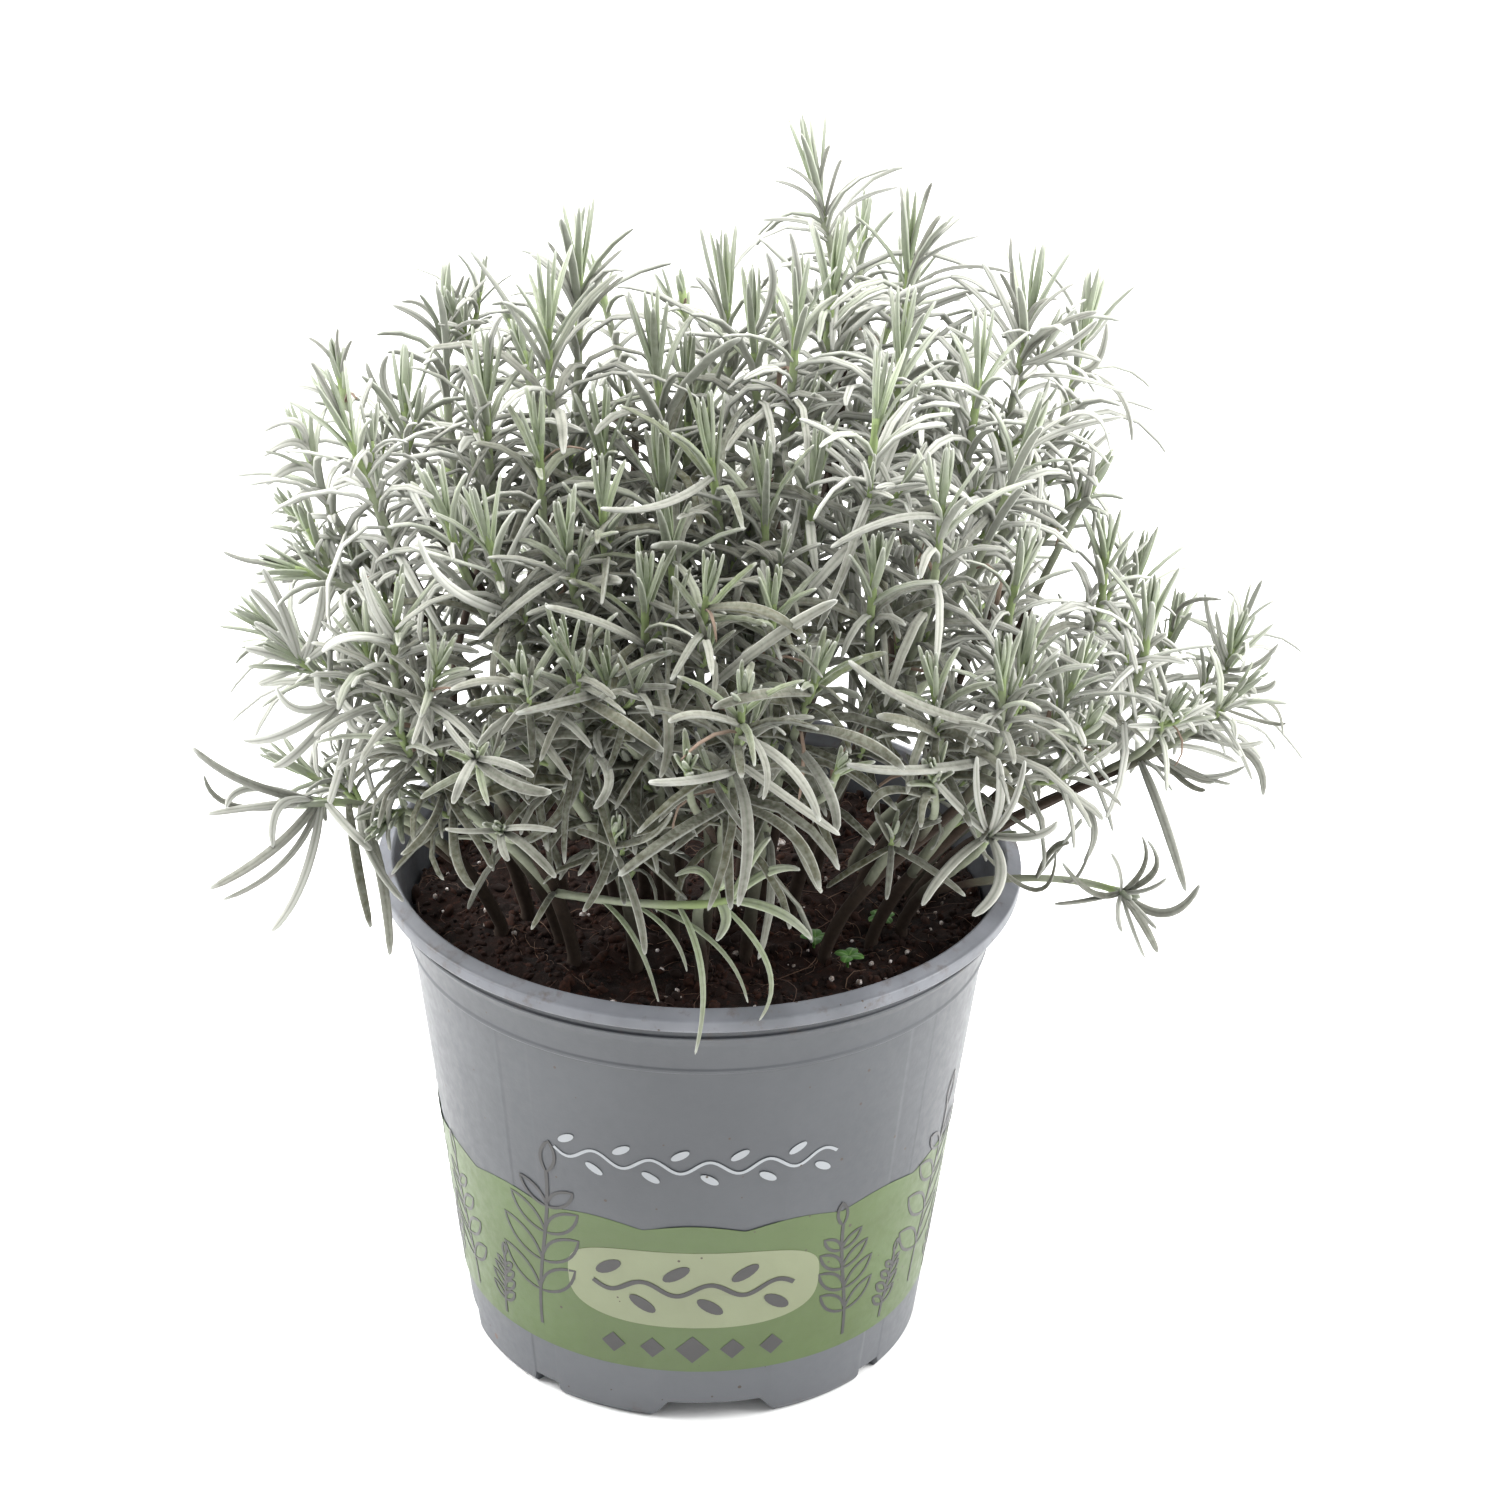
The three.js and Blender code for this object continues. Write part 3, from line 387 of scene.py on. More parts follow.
    (19, (1121, 892, 29), (1092, 892, 36), (1062, 862, 38), 0.75, 0.2),
    (19, (1121, 892, 29), (1120, 872, 36), (1111, 853, 38), 0.5, 0.8),
    (19, (1121, 892, 29), (1144, 866, 36), (1142, 836, 38), 0.6, 0.2),
    (19, (1121, 892, 29), (1155, 870, 36), (1147, 840, 38), 0.75, 0.2),
    (19, (1121, 892, 29), (1146, 890, 36), (1167, 878, 38), 0.55, 0.7),
    (19, (1121, 893, 29), (1166, 913, 36), (1200, 884, 40), 0.95, 0.4),
    (19, (1121, 893, 29), (1140, 912, 36), (1157, 929, 38), 0.55, 0.7),
    (19, (1121, 893, 29), (1142, 922, 38), (1158, 953, 40), 0.85, 0.3),
    (19, (1121, 893, 29), (1134, 932, 38), (1145, 958, 40), 0.5, 0.8),
    (19, (1042, 832, 20), (1080, 822, 26), (1062, 845, 28), 0.5, 0.8),
    (19, (1042, 834, 20), (1052, 850, 26), (1070, 843, 28), 0.75, 0.2),
    (19, (1014, 846, 30), (1036, 890, 34), (1056, 850, 34), 0.5, 0.2),
    (19, (1056, 852, 24), (1076, 878, 28), (1090, 850, 28), 0.4, 0.5),
    (19, (1121, 893, 29), (1118, 914, 36), (1122, 932, 38), 0.55, 0.8),
    (19, (994, 834, 38), (962, 810, 56), (931, 776, 60), 0.9, 0.9),
    (19, (994, 834, 38), (978, 800, 56), (977, 756, 60), 0.8, 1.0),
    (19, (994, 834, 38), (1000, 800, 56), (998, 758, 60), 0.9, 1.0),
    (19, (994, 834, 38), (1012, 806, 56), (1025, 760, 60), 0.8, 1.0),
    (19, (994, 834, 38), (1034, 836, 56), (1058, 821, 60), 0.95, 1.0),
    (19, (994, 834, 38), (1000, 880, 56), (972, 916, 60), 1.15, 1.0),
    (19, (994, 834, 38), (950, 866, 54), (922, 906, 58), 0.95, 0.7),
    (17, (1200, 748, 0), (1247, 752, 6), (1263, 796, 8), 0.9, 0.5),
    (17, (1132, 760, 0), (1163, 818, 14), (1186, 892, 16), 1.0, 0.5),
    (17, (1075, 788, -2), (1094, 825, 8), (1084, 862, 8), 0.8, 0.6),
    (17, (1225, 670, -8), (1212, 630, -6), (1205, 593, -6), 0.6, 0.9),
    (17, (1230, 660, -8), (1222, 640, -6), (1216, 610, -6), 0.5, 0.9),
    (17, (1232, 690, -4), (1255, 665, 0), (1279, 643, 2), 0.7, 0.8),
    (17, (1232, 700, -4), (1258, 690, 0), (1276, 680, 2), 0.8, 0.9),
    (17, (1240, 716, 2), (1265, 722, 4), (1286, 723, 6), 0.45, 0.3),
    (17, (1236, 712, 2), (1268, 702, 6), (1283, 736, 8), 0.45, 0.4),
    (17, (1200, 740, 2), (1230, 744, 6), (1265, 741, 8), 0.9, 0.9),
    (17, (1165, 758, 0), (1200, 775, 4), (1231, 784, 6), 0.6, 0.5),
    (17, (1165, 755, 0), (1190, 776, 4), (1215, 782, 6), 0.6, 0.5),
    (17, (1160, 770, 0), (1185, 782, 4), (1206, 790, 6), 0.6, 0.2),
    (17, (1150, 770, 0), (1200, 777, 4), (1245, 766, 6), 0.6, 0.9),
    (16, (1160, 625, -8), (1185, 604, -6), (1223, 600, -6), 0.5, 0.3),
    (17, (1110, 770, -2), (1088, 742, 8), (1070, 776, 8), 0.65, 0.2),
    (17, (1147, 750, 0), (1118, 722, 10), (1102, 756, 12), 0.6, 0.2),
]

# The far half is filled by a rule: tiers of shoots, each at a radius and a height, leaning out.
FAR_SEED = 7
FAR_STEMS = 7
FAR_START = 8
FAR_SPAN = 164
FAR_TIERS = [
    {"radius": 104, "height": 160, "foot_radius": 78, "foot_height": 142},
    {"radius": 92, "height": 204, "foot_radius": 72, "foot_height": 172},
    {"radius": 64, "height": 238, "foot_radius": 52, "foot_height": 204},
]


def unit(vectors):
    """The vectors at length one."""
    vectors = np.asarray(vectors, float)
    return vectors / np.linalg.norm(vectors, axis=-1, keepdims=True)


def camera_axes():
    """The camera's place and its forward, right and up directions, rolled about the view."""
    place = np.array(
        [
            0.0,
            -CAMERA_DISTANCE * math.cos(CAMERA_ELEVATION),
            CAMERA_PIVOT_HEIGHT + CAMERA_DISTANCE * math.sin(CAMERA_ELEVATION),
        ]
    )
    forward = unit(CAMERA_TARGET - place)
    level = unit(np.cross(forward, UP))
    above = np.cross(level, forward)
    right = math.cos(CAMERA_ROLL) * level + math.sin(CAMERA_ROLL) * above
    up = math.cos(CAMERA_ROLL) * above - math.sin(CAMERA_ROLL) * level
    return place, forward, right, up


def from_photo(seen):
    """The point seen at a column and a row, on the upright plane that lies near in front of the axis."""
    column, row, near = seen
    place, forward, right, up = camera_axes()
    middle = PHOTO_SIZE / 2
    ray = forward + right * (column - middle) / PHOTO_FOCUS + up * (middle - row) / PHOTO_FOCUS
    return place + ray * (-near - place[1]) / ray[1]


# Meshes


def circle(count):
    """Angles spaced evenly once round."""
    return np.linspace(0, 2 * math.pi, count, endpoint=False)


def spun(x, y, turn):
    """Coordinates turned about the origin."""
    return x * math.cos(turn) - y * math.sin(turn), x * math.sin(turn) + y * math.cos(turn)


def set_in_scene(name, data):
    """A new object in the scene that holds a mesh, a light or a camera."""
    holder = bpy.data.objects.new(name, data)
    bpy.context.scene.collection.objects.link(holder)
    return holder


def part(points, triangles=(), quads=(), surface=0, **values):
    """A surface before it is a piece: points, faces, which of the piece's materials it takes, and
    named values for each point."""
    points = np.asarray(points, float).reshape(-1, 3)
    values = {name: np.broadcast_to(value, len(points)).astype(float) for name, value in values.items()}
    return {
        "points": points,
        "triangles": np.asarray(triangles, int).reshape(-1, 3),
        "quads": np.asarray(quads, int).reshape(-1, 4),
        "surface": surface,
        "values": values,
    }


def add_piece(name, parts, materials, replaced=None, crease=None):
    """One mesh of several parts, in metres, that rides on the root body. Edges sharper than crease
    degrees stay sharp."""
    starts = np.cumsum([0] + [len(one["points"]) for one in parts])
    points = np.concatenate([one["points"] for one in parts])
    faces = []
    for one, start in zip(parts, starts):
        faces += [(one["triangles"] + start, one["surface"]), (one["quads"] + start, one["surface"])]
    faces = [(corners, surface) for corners, surface in faces if len(corners)]
    sizes = np.concatenate([np.full(len(corners), corners.shape[1]) for corners, _ in faces])
    mesh = bpy.data.meshes.new(name)
    mesh.vertices.add(len(points))
    mesh.vertices.foreach_set("co", ((points + POT_AXIS) * MM).astype(np.float32).ravel())
    mesh.loops.add(int(sizes.sum()))
    mesh.loops.foreach_set("vertex_index", np.concatenate([corners.ravel() for corners, _ in faces]))
    mesh.polygons.add(len(sizes))
    mesh.polygons.foreach_set("loop_start", np.cumsum(sizes) - sizes)
    mesh.polygons.foreach_set(
        "material_index", np.concatenate([np.full(len(corners), surface) for corners, surface in faces])
    )
    for value in parts[0]["values"]:
        column = np.concatenate([one["values"][value] for one in parts])
        mesh.attributes.new(value, "FLOAT", "POINT").data.foreach_set("value", column)
    mesh.update(calc_edges=True)
    mesh.polygons.foreach_set("use_smooth", np.ones(len(sizes), bool))
    if crease is not None:
        mesh.set_sharp_from_angle(angle=math.radians(crease))
    for material in materials:
        mesh.materials.append(material)
    piece = set_in_scene(name, mesh)
    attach(piece, "root")
    if replaced is not None:
        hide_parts(replaced)
    return piece


def settle(piece, crease):
    """Makes a piece's modifiers part of its mesh. Edges sharper than crease degrees stay sharp."""
    graph = bpy.context.evaluated_depsgraph_get()
    mesh = bpy.data.meshes.new_from_object(piece.evaluated_get(graph))
    mesh.set_sharp_from_angle(angle=math.radians(crease))
    piece.modifiers.clear()
    piece.data = mesh


def grid_quads(rows, columns, wrapped):
    """The quads of a grid of points numbered row by row, with its last column joined to its first
    where it is wrapped."""
    across = columns if wrapped else columns - 1
    row, column = np.meshgrid(np.arange(rows - 1), np.arange(across), indexing="ij")
    after = (column + 1) % columns
    here = row * columns + column
    beside = row * columns + after
    return np.stack([here, beside, beside + columns, here + columns], axis=-1).reshape(-1, 4)


def capped_tube(rings, sides):
    """Faces of a tube of rings between two pole points: the first pole is point 0, and the last
    pole follows the rings."""
    quads = 1 + grid_quads(rings, sides, wrapped=True)
    here = np.arange(sides)
    after = (here + 1) % sides
    first = 1 + np.stack([np.full(sides, -1), after, here], axis=-1)
    top = 1 + (rings - 1) * sides
    last = np.stack([top + here, top + after, np.full(sides, top + sides)], axis=-1)
    return np.concatenate([first, last]), quads


def copied_faces(faces, points_each, copies):
    """The faces of a shape repeated for every copy, when the copies' points follow each other."""
    shift = points_each * np.arange(copies)
    return (faces[None] + shift[:, None, None]).reshape(-1, faces.shape[1])


def revolved(radius, height, bearing, **values):
    """A body of revolution: each row of radii and heights is carried round the axis through the
    bearings, counted from the front, and the first and last rows are poles on the axis."""
    radius, height = np.broadcast_arrays(radius, height)
    ring = np.stack([radius * np.sin(bearing), -radius * np.cos(bearing), height + 0 * bearing], axis=-1)
    points = np.concatenate([ring[0, :1], ring[1:-1].reshape(-1, 3), ring[-1, :1]])
    triangles, quads = capped_tube(len(ring) - 2, len(bearing))
    return part(points, triangles, quads, **values)


def rounded(corners, cut, steps=5):
    """An outline whose corners, but for its ends, are cut back and bridged by a parabola. The cut
    takes at most 0.45 of the shorter side."""
    corners = np.asarray(corners, float)
    middle, before, after = corners[1:-1], corners[:-2], corners[2:]
    sides = np.linalg.norm(middle - before, axis=1), np.linalg.norm(after - middle, axis=1)
    reach = np.minimum(0.45 * np.minimum(*sides), cut)[:, None]
    start = middle + reach * unit(before - middle)
    end = middle + reach * unit(after - middle)
    t = np.linspace(0, 1, steps)[:, None, None]
    bridges = (1 - t) ** 2 * start + 2 * t * (1 - t) * middle + t**2 * end
    return np.concatenate([corners[:1], bridges.transpose(1, 0, 2).reshape(-1, 2), corners[-1:]])


def lattice_noise(places, size, seed):
    """Smooth noise from -1 to 1: random values on a lattice of cells of that size, blended between
    the corners of each cell by a smoothed share."""
    cells = 32
    values = np.random.default_rng(seed).uniform(-1, 1, (cells, cells, cells))
    scaled = np.asarray(places) / size
    whole = np.floor(scaled).astype(int)
    share = scaled - whole
    share = share * share * (3 - 2 * share)
    total = 0
    for corner in np.ndindex(2, 2, 2):
        weight = np.prod(np.where(corner, share, 1 - share), axis=-1)
        x, y, z = np.moveaxis((whole + corner) % cells, -1, 0)
        total = total + weight * values[x, y, z]
    return total


# Materials


def linear(code):
    """A colour given as sRGB hex, as linear red, green, blue and full cover."""
    channels = np.array([int(code[i : i + 2], 16) for i in (1, 3, 5)]) / 255
    curved = np.where(channels <= 0.04045, channels / 12.92, ((channels + 0.055) / 1.055) ** 2.4)
    return (*curved, 1.0)


def new_material(name):
    material = bpy.data.materials.new(name)
    material.use_nodes = True
    material.node_tree.nodes.clear()
    return material


def add(material, kind, inputs=None, **settings):
    """Adds a node with its settings, and gives each named input a value or a link."""
    tree = material.node_tree
    made = tree.nodes.new(kind)
    for key, value in settings.items():
        setattr(made, key, value)
    for key, value in (inputs or {}).items():
        if isinstance(value, bpy.types.NodeSocket):
            tree.links.new(value, made.inputs[key])
        else:
            made.inputs[key].default_value = value
    return made


def own_place(material):
    """The piece's own coordinates, in metres."""
    return add(material, "ShaderNodeTexCoord").outputs["Object"]


def spot_noise(material, size, detail=2.0, roughness=0.5):
    """Noise whose blotches are about size millimetres across, from the piece's own coordinates."""
    scale = 1 / (size * MM)
    inputs = {"Vector": own_place(material), "Scale": scale, "Detail": detail, "Roughness": roughness}
    return add(material, "ShaderNodeTexNoise", inputs).outputs["Fac"]


def blend(material, share, first, second):
    """The first colour turned into the second by a share. A colour is sRGB hex or a link."""
    first, second = (linear(colour) if isinstance(colour, str) else colour for colour in (first, second))
    inputs = {0: share, 6: first, 7: second}
    return add(material, "ShaderNodeMix", inputs, data_type="RGBA").outputs[2]


def step(material, value, low, high, least=0.0, most=1.0):
    """A value carried from one range to another and held within it."""
    inputs = {"Value": value, "From Min": low, "From Max": high, "To Min": least, "To Max": most}
    return add(material, "ShaderNodeMapRange", inputs).outputs["Result"]


def worked(material, operation, first, second):
    """Two values put together by one operation."""
    return add(material, "ShaderNodeMath", {0: first, 1: second}, operation=operation).outputs[0]


def times(material, first, second):
    return worked(material, "MULTIPLY", first, second)


def named_value(material, name):
    return add(material, "ShaderNodeAttribute", attribute_name=name).outputs["Fac"]


def finish(material, colour, roughness, bump, depth, sockets=None):
    """Closes a material with its shader. The bump's depth is in millimetres, and sockets are the
    shader's other values."""
    relief = add(material, "ShaderNodeBump", {"Height": bump, "Distance": depth * MM, "Strength": 1.0})
    inputs = {"Base Color": colour, "Roughness": roughness, "Normal": relief.outputs["Normal"]}
    shader = add(material, "ShaderNodeBsdfPrincipled", {**inputs, **(sockets or {})})
    add(material, "ShaderNodeOutputMaterial", {"Surface": shader.outputs["BSDF"]})
    return material


def dirt_specks(material, spacing, radius):
    """1 inside dots of all sizes up to a radius, about spacing apart in space, and 0 elsewhere."""
    inputs = {"Vector": own_place(material), "Scale": 1 / (spacing * MM)}
    dots = add(material, "ShaderNodeTexVoronoi", inputs)
    sized = worked(material, "DIVIDE", dots.outputs["Distance"], dots.outputs["Color"])
    return step(material, sized, radius / spacing, 0.8 * radius / spacing)


def moulded_polypropylene():
    """Grey injection-moulded polypropylene: semi-matt, with a soft cloud in the tint, painted paler
    towards the foot as light bounced up from the floor, and painted paler in patches on the rim as
    top light, with a faint orange-peel and specks of soil that cling to it."""
    material = new_material("moulded_polypropylene")
    height = add(material, "ShaderNodeSeparateXYZ", {0: own_place(material)}).outputs["Z"]
    rim_foot = POT_HEIGHT - 5
    cloud = step(material, spot_noise(material, 35), 0.3, 0.7)
    new = blend(material, cloud, "#3A3C40", "#404246")
    # Painted light: the plastic is painted paler towards the foot, for the light that the floor bounces up
    # onto it.
    floor_bounce_paint = blend(material, step(material, height, 60 * MM, 4 * MM, 0, 0.85), new, "#525458")
    # Painted highlight: the rim's band and top are painted paler in soft patches, for the top light that
    # falls on them.
    on_rim = step(material, height, (rim_foot - 0.5) * MM, (rim_foot + 0.5) * MM)
    rim_light_patches = step(material, spot_noise(material, 16, 4), 0.3, 0.7, 0.3, 1)
    grey = blend(material, times(material, on_rim, rim_light_patches), floor_bounce_paint, "#696B71")
    near_rim = step(material, height, (rim_foot - 6) * MM, rim_foot * MM)
    near_foot = times(material, step(material, height, 5 * MM, 2 * MM), 0.7)
    smudge = step(material, spot_noise(material, 5, 5, 0.65), 0.56, 0.72)
    dirty = times(material, smudge, worked(material, "MAXIMUM", near_rim, near_foot))
    soiled = blend(material, times(material, dirty, 0.7), grey, "#43362D")
    specked = blend(material, dirt_specks(material, 4.6, 0.5), soiled, "#372B23")
    marked = blend(material, dirt_specks(material, 26, 1.1), specked, "#563C2D")
    rough = step(material, spot_noise(material, 2.2), 0.3, 0.7, 0.42, 0.5)
    return finish(material, marked, rough, spot_noise(material, 0.8), 0.02, {"IOR": 1.49})


def pad_printed_ink(name, code, other):
    """Flat ink printed on the pot: even colour with a slight cloud, a little glossier than the wall,
    with the same specks of soil."""
    material = new_material(name)
    cloud = step(material, spot_noise(material, 14, 3), 0.3, 0.7)
    colour = blend(material, cloud, code, other)
    marked = blend(material, dirt_specks(material, 4.6, 0.5), colour, "#372B23")
    rough = step(material, spot_noise(material, 2.2), 0.3, 0.7, 0.34, 0.46)
    return finish(material, marked, rough, spot_noise(material, 0.8), 0.015, {"IOR": 1.5})


def damp_peat():
    """Damp peat mix: nearly black, with red-brown fibre and a broken, crumbly surface."""
    material = new_material("damp_peat")
    patches = step(material, spot_noise(material, 9, 4), 0.35, 0.68)
    base = blend(material, patches, "#100805", "#22110A")
    shreds = step(material, spot_noise(material, 1.6, 6, 0.7), 0.55, 0.7)
    colour = blend(material, times(material, shreds, 0.6), base, "#4C281A")
    crumble = spot_noise(material, 1.2, 6, 0.7)
    return finish(material, colour, 0.92, crumble, 0.7, {"Specular IOR Level": 0.2})


def peat_crumb():
    """Loose crumbs of peat and bark: each its own tone between black and red-brown."""
    material = new_material("peat_crumb")
    base = blend(material, named_value(material, "tone"), "#0C0705", "#321B11")
    stains = step(material, spot_noise(material, 0.9, 4), 0.4, 0.7)
    colour = blend(material, stains, base, "#1B0F0A")
    return finish(material, colour, 0.9, spot_noise(material, 0.5, 4), 0.2, {"Specular IOR Level": 0.2})


def dry_fibre():
    """Coir and dead roots: thin straw-coloured to rust threads."""
    material = new_material("dry_fibre")
    colour = blend(material, named_value(material, "tone"), "#372015", "#634C3B")
    return finish(material, colour, 0.8, spot_noise(material, 0.4, 3), 0.05)


def expanded_perlite():
    """Perlite: white porous grains, dirtied by peat in their pits."""
    material = new_material("expanded_perlite")
    pits = step(material, spot_noise(material, 0.7, 4), 0.42, 0.62)
    colour = blend(material, pits, "#776A61", "#D1CBC8")
    return finish(material, colour, 0.85, spot_noise(material, 0.35, 4), 0.15)


def felted_leaf():
    """A curry plant leaf: olive green under a white felt, which is thick on young leaves and thin on
    old ones, and thickest on the rolled margins and the tip. The felt value also carries painted
    shade: leaves in the bush's shaded hearts are painted dark, and the underside is painted a
    darker grey-green as shade. The youngest are light green at their base, and a few old ones have
    dried brown."""
    material = new_material("felted_leaf")
    across = named_value(material, "across")
    along = named_value(material, "along")
    tone = named_value(material, "tone")
    age = named_value(material, "age")
    # Painted shade: bare is the dark that the felt value fades to, both on old leaves and on leaves painted
    # dark in the bush's shaded hearts.
    bare = blend(material, tone, "#2A2819", "#43412D")
    felt = blend(material, tone, "#A4A49D", "#BFBFB8")
    felt_and_shade_colour = blend(material, named_value(material, "felt"), bare, felt)
    fresh = blend(material, tone, "#66774A", "#8E9E72")
    young = times(material, step(material, along, 1.3, 0.3), step(material, age, 0.34, 0.06))
    top = blend(material, young, felt_and_shade_colour, fresh)
    groove = blend(material, step(material, across, 0.3, 0.02, 0, 0.5), top, "#3B4130")
    margin = times(material, step(material, across, 0.72, 0.95, 0, 0.3), step(material, across, 1.4, 1.1))
    edged = blend(material, margin, groove, "#ACAEA9")
    # Painted shade: the underside is painted a darker grey-green, as the shade on the leaves' lower sides.
    under = blend(material, step(material, across, 1.1, 1.4, 0, 0.5), edged, "#70746A")
    tipped = blend(material, step(material, along, 0.92, 0.99, 0, 0.5), under, "#AEAFAA")
    mottle = step(material, spot_noise(material, 1.3, 3), 0.35, 0.7, 0, 0.25)
    mottled = blend(material, mottle, tipped, "#9C9F95")
    withered = blend(material, spot_noise(material, 2.5, 3), "#54453A", "#877668")
    colour = blend(material, named_value(material, "dry"), mottled, withered)
    felt_bump = spot_noise(material, 0.35, 3, 0.6)
    fuzz = {
        "Sheen Weight": 0.08,
        "Sheen Roughness": 0.5,
        "Sheen Tint": linear("#F2F4EC"),
        "Specular IOR Level": 0.25,
    }
    return finish(material, colour, 0.88, felt_bump, 0.06, fuzz)


def felted_stem():
    """A stem: light green at its tip, white felt over green below that, and grey-brown bark with
    fine cracks at its foot."""
    material = new_material("felted_stem")
    age = named_value(material, "age")
    felt = blend(material, spot_noise(material, 2.5, 3), "#6C7259", "#8D9183")
    fresh = blend(material, step(material, age, 0.6, 0.2), felt, "#77855A")
    bark = blend(material, spot_noise(material, 1.4, 5, 0.65), "#1F1814", "#3F3329")
    colour = blend(material, step(material, age, 1.3, 2.6), fresh, bark)
    return finish(material, colour, 0.88, spot_noise(material, 0.7, 4), 0.15, {"Specular IOR Level": 0.25})


def seedling_leaf():
    """A weed seedling's leaf: smooth, fresh green, a little glossy, with a paler vein."""
    material = new_material("seedling_leaf")
    base = blend(material, spot_noise(material, 2, 3), "#254514", "#3F6725")
    vein = step(material, named_value(material, "across"), 0.16, 0.04, 0, 0.4)
    colour = blend(material, vein, base, "#789756")
    return finish(material, colour, 0.5, spot_noise(material, 0.5, 3), 0.04, {"IOR": 1.45})


def painted_board():
    """A matt pale board for the plant to stand on."""
    material = new_material("painted_board")
    colour = blend(material, spot_noise(material, 60, 2), "#E6E6E5", "#E8E8E7")
    return finish(material, colour, 0.9, spot_noise(material, 3, 2), 0.02)


# Pot


def inner_radius(height):
    """The pot's inner wall: a cone that flares above the collar."""
    slope = (COLLAR_RADIUS - FOOT_RADIUS) / COLLAR_HEIGHT
    flare = np.maximum(0, height - COLLAR_HEIGHT) / (POT_HEIGHT - COLLAR_HEIGHT)
    return FOOT_RADIUS + slope * height - WALL + 2.2 * flare**2


def pot_profile():
    """Radius and height round the pot's wall: from the middle of the underside out over the foot
    ring, up the wall to the rim, and down the inside to the middle of the floor."""
    band_top = POT_HEIGHT - 1.6
    band_foot = band_top - RIM_BAND_HEIGHT
    ring_inside = FOOT_RADIUS - 0.6 - FOOT_RING_WIDTH
    corners = [
        (0, FLOOR_UNDERSIDE),
        (ring_inside - 0.4, FLOOR_UNDERSIDE),
        (ring_inside, 0),
        (FOOT_RADIUS - 0.6, 0),
        (FOOT_RADIUS + 0.4, 1.4),
        (COLLAR_RADIUS - 0.7, COLLAR_HEIGHT - 1.1),
        (COLLAR_RADIUS + 0.1, COLLAR_HEIGHT - 0.7),
        (COLLAR_RADIUS + 0.2, COLLAR_HEIGHT),
        (COLLAR_RADIUS, COLLAR_HEIGHT + 0.5),
        (COLLAR_RADIUS + 1.6, COLLAR_HEIGHT + 7),
        (RIM_RADIUS - 3.8, band_foot - 4.1),
        (RIM_RADIUS - 2.5, band_foot - 3.5),
        (RIM_RADIUS - 2.5, band_foot - 3),
        (RIM_RADIUS - 3.1, band_foot - 2.8),
        (RIM_RADIUS - 3.1, band_foot - 0.6),
        (RIM_RADIUS - 0.4, band_foot - 0.3),
        (RIM_RADIUS, band_foot + 0.2),
        (RIM_RADIUS, band_top),
        (RIM_RADIUS - 0.7, band_top + 0.3),
        (RIM_RADIUS - 3, POT_HEIGHT),
        (RIM_RADIUS - 3.7, POT_HEIGHT - 0.6),
        (inner_radius(COLLAR_HEIGHT + 9), COLLAR_HEIGHT + 9),
        (inner_radius(COLLAR_HEIGHT), COLLAR_HEIGHT),
        (inner_radius(FLOOR_TOP), FLOOR_TOP),
        (0, FLOOR_TOP),
    ]
    return rounded(corners, 0.35)


def notch_rise(bearing):
    """How high the notches lift the foot ring at each bearing: a trapezium for each notch."""
    rise = np.zeros_like(bearing)
    for notch in NOTCHES:
        off = (np.degrees(bearing) - NOTCH_TURN - notch["turn"] + 45) % 90 - 45
        along = np.abs(np.radians(off)) * FOOT_RADIUS
        slope = notch["height"] / ((notch["base"] - notch["top"]) / 2)
        rise = np.maximum(rise, np.clip((notch["base"] / 2 - along) * slope, 0, notch["height"]))
    return rise


def pot_bearings(steps):
    """Even bearings, with the corners of the notches added between them."""
    even = np.arange(steps) * 360 / steps
    corners = []
    for notch in NOTCHES:
        middles = NOTCH_TURN + notch["turn"] + 90 * np.arange(4)
        for width in (notch["base"], notch["top"]):
            half = math.degrees(width / 2 / FOOT_RADIUS)
            corners += [*(middles - half), *(middles + half)]
    return np.radians(np.unique(np.round(np.concatenate([even, np.array(corners) % 360]), 4)))


def make_pot():
    bearing = pot_bearings(400)
    radius, height = pot_profile().T[..., None]
    on_ring = (radius > FOOT_RADIUS - 4) & (height < WIDE_NOTCH["height"])
    lifted = np.where(on_ring, np.maximum(height, notch_rise(bearing)), height)
    body = revolved(radius, lifted, bearing)
    pot = add_piece("pot_body", [body], [moulded_polypropylene()], "pot", crease=35)
    drill_drains(pot)
    return pot


def drill_drains(pot):
    """Four drain holes through the floor, cut by upright rods and then made part of the mesh."""
    radius = np.array([0, DRAIN_RADIUS, DRAIN_RADIUS, 0])[:, None]
    height = np.array([1, 1, 2 * FLOOR_TOP, 2 * FLOOR_TOP])[:, None]
    rods = []
    for turn in np.radians(NOTCH_TURN + 45 + 90 * np.arange(-1, 3)):
        rod = revolved(radius, height, circle(24))
        rod["points"] += DRAIN_RING_RADIUS * np.array([math.cos(turn), math.sin(turn), 0])
        rods.append(rod)
    cutter = add_piece("drain_rods", rods, pot.data.materials)
    cut = pot.modifiers.new("drains", "BOOLEAN")
    cut.object = cutter
    cut.solver = "MANIFOLD"
    settle(pot, crease=35)
    bpy.data.objects.remove(cutter)


# Print on the pot

PRINT_FOOT = 14
PRINT_TOP = 53
SCALLOPS = 16
SCALLOP_DEPTH = 1.8
PRINT_LIFT = 0.09
PRINT_FILM = 0.05
PANEL_HALF = (28, 10.5)
PANEL_HEIGHT = 37
GARLAND_HEIGHT = 71
LOZENGE_HEIGHT = 20.3
SPRIGS = 14
TALL_SPRIG = {"height": 19, "size": 44, "lean": 1}
LOW_SPRIG = {"height": 17, "size": 32, "lean": -1}
SMALL_SPRIG = {"height": 16, "size": 17, "lean": 1}
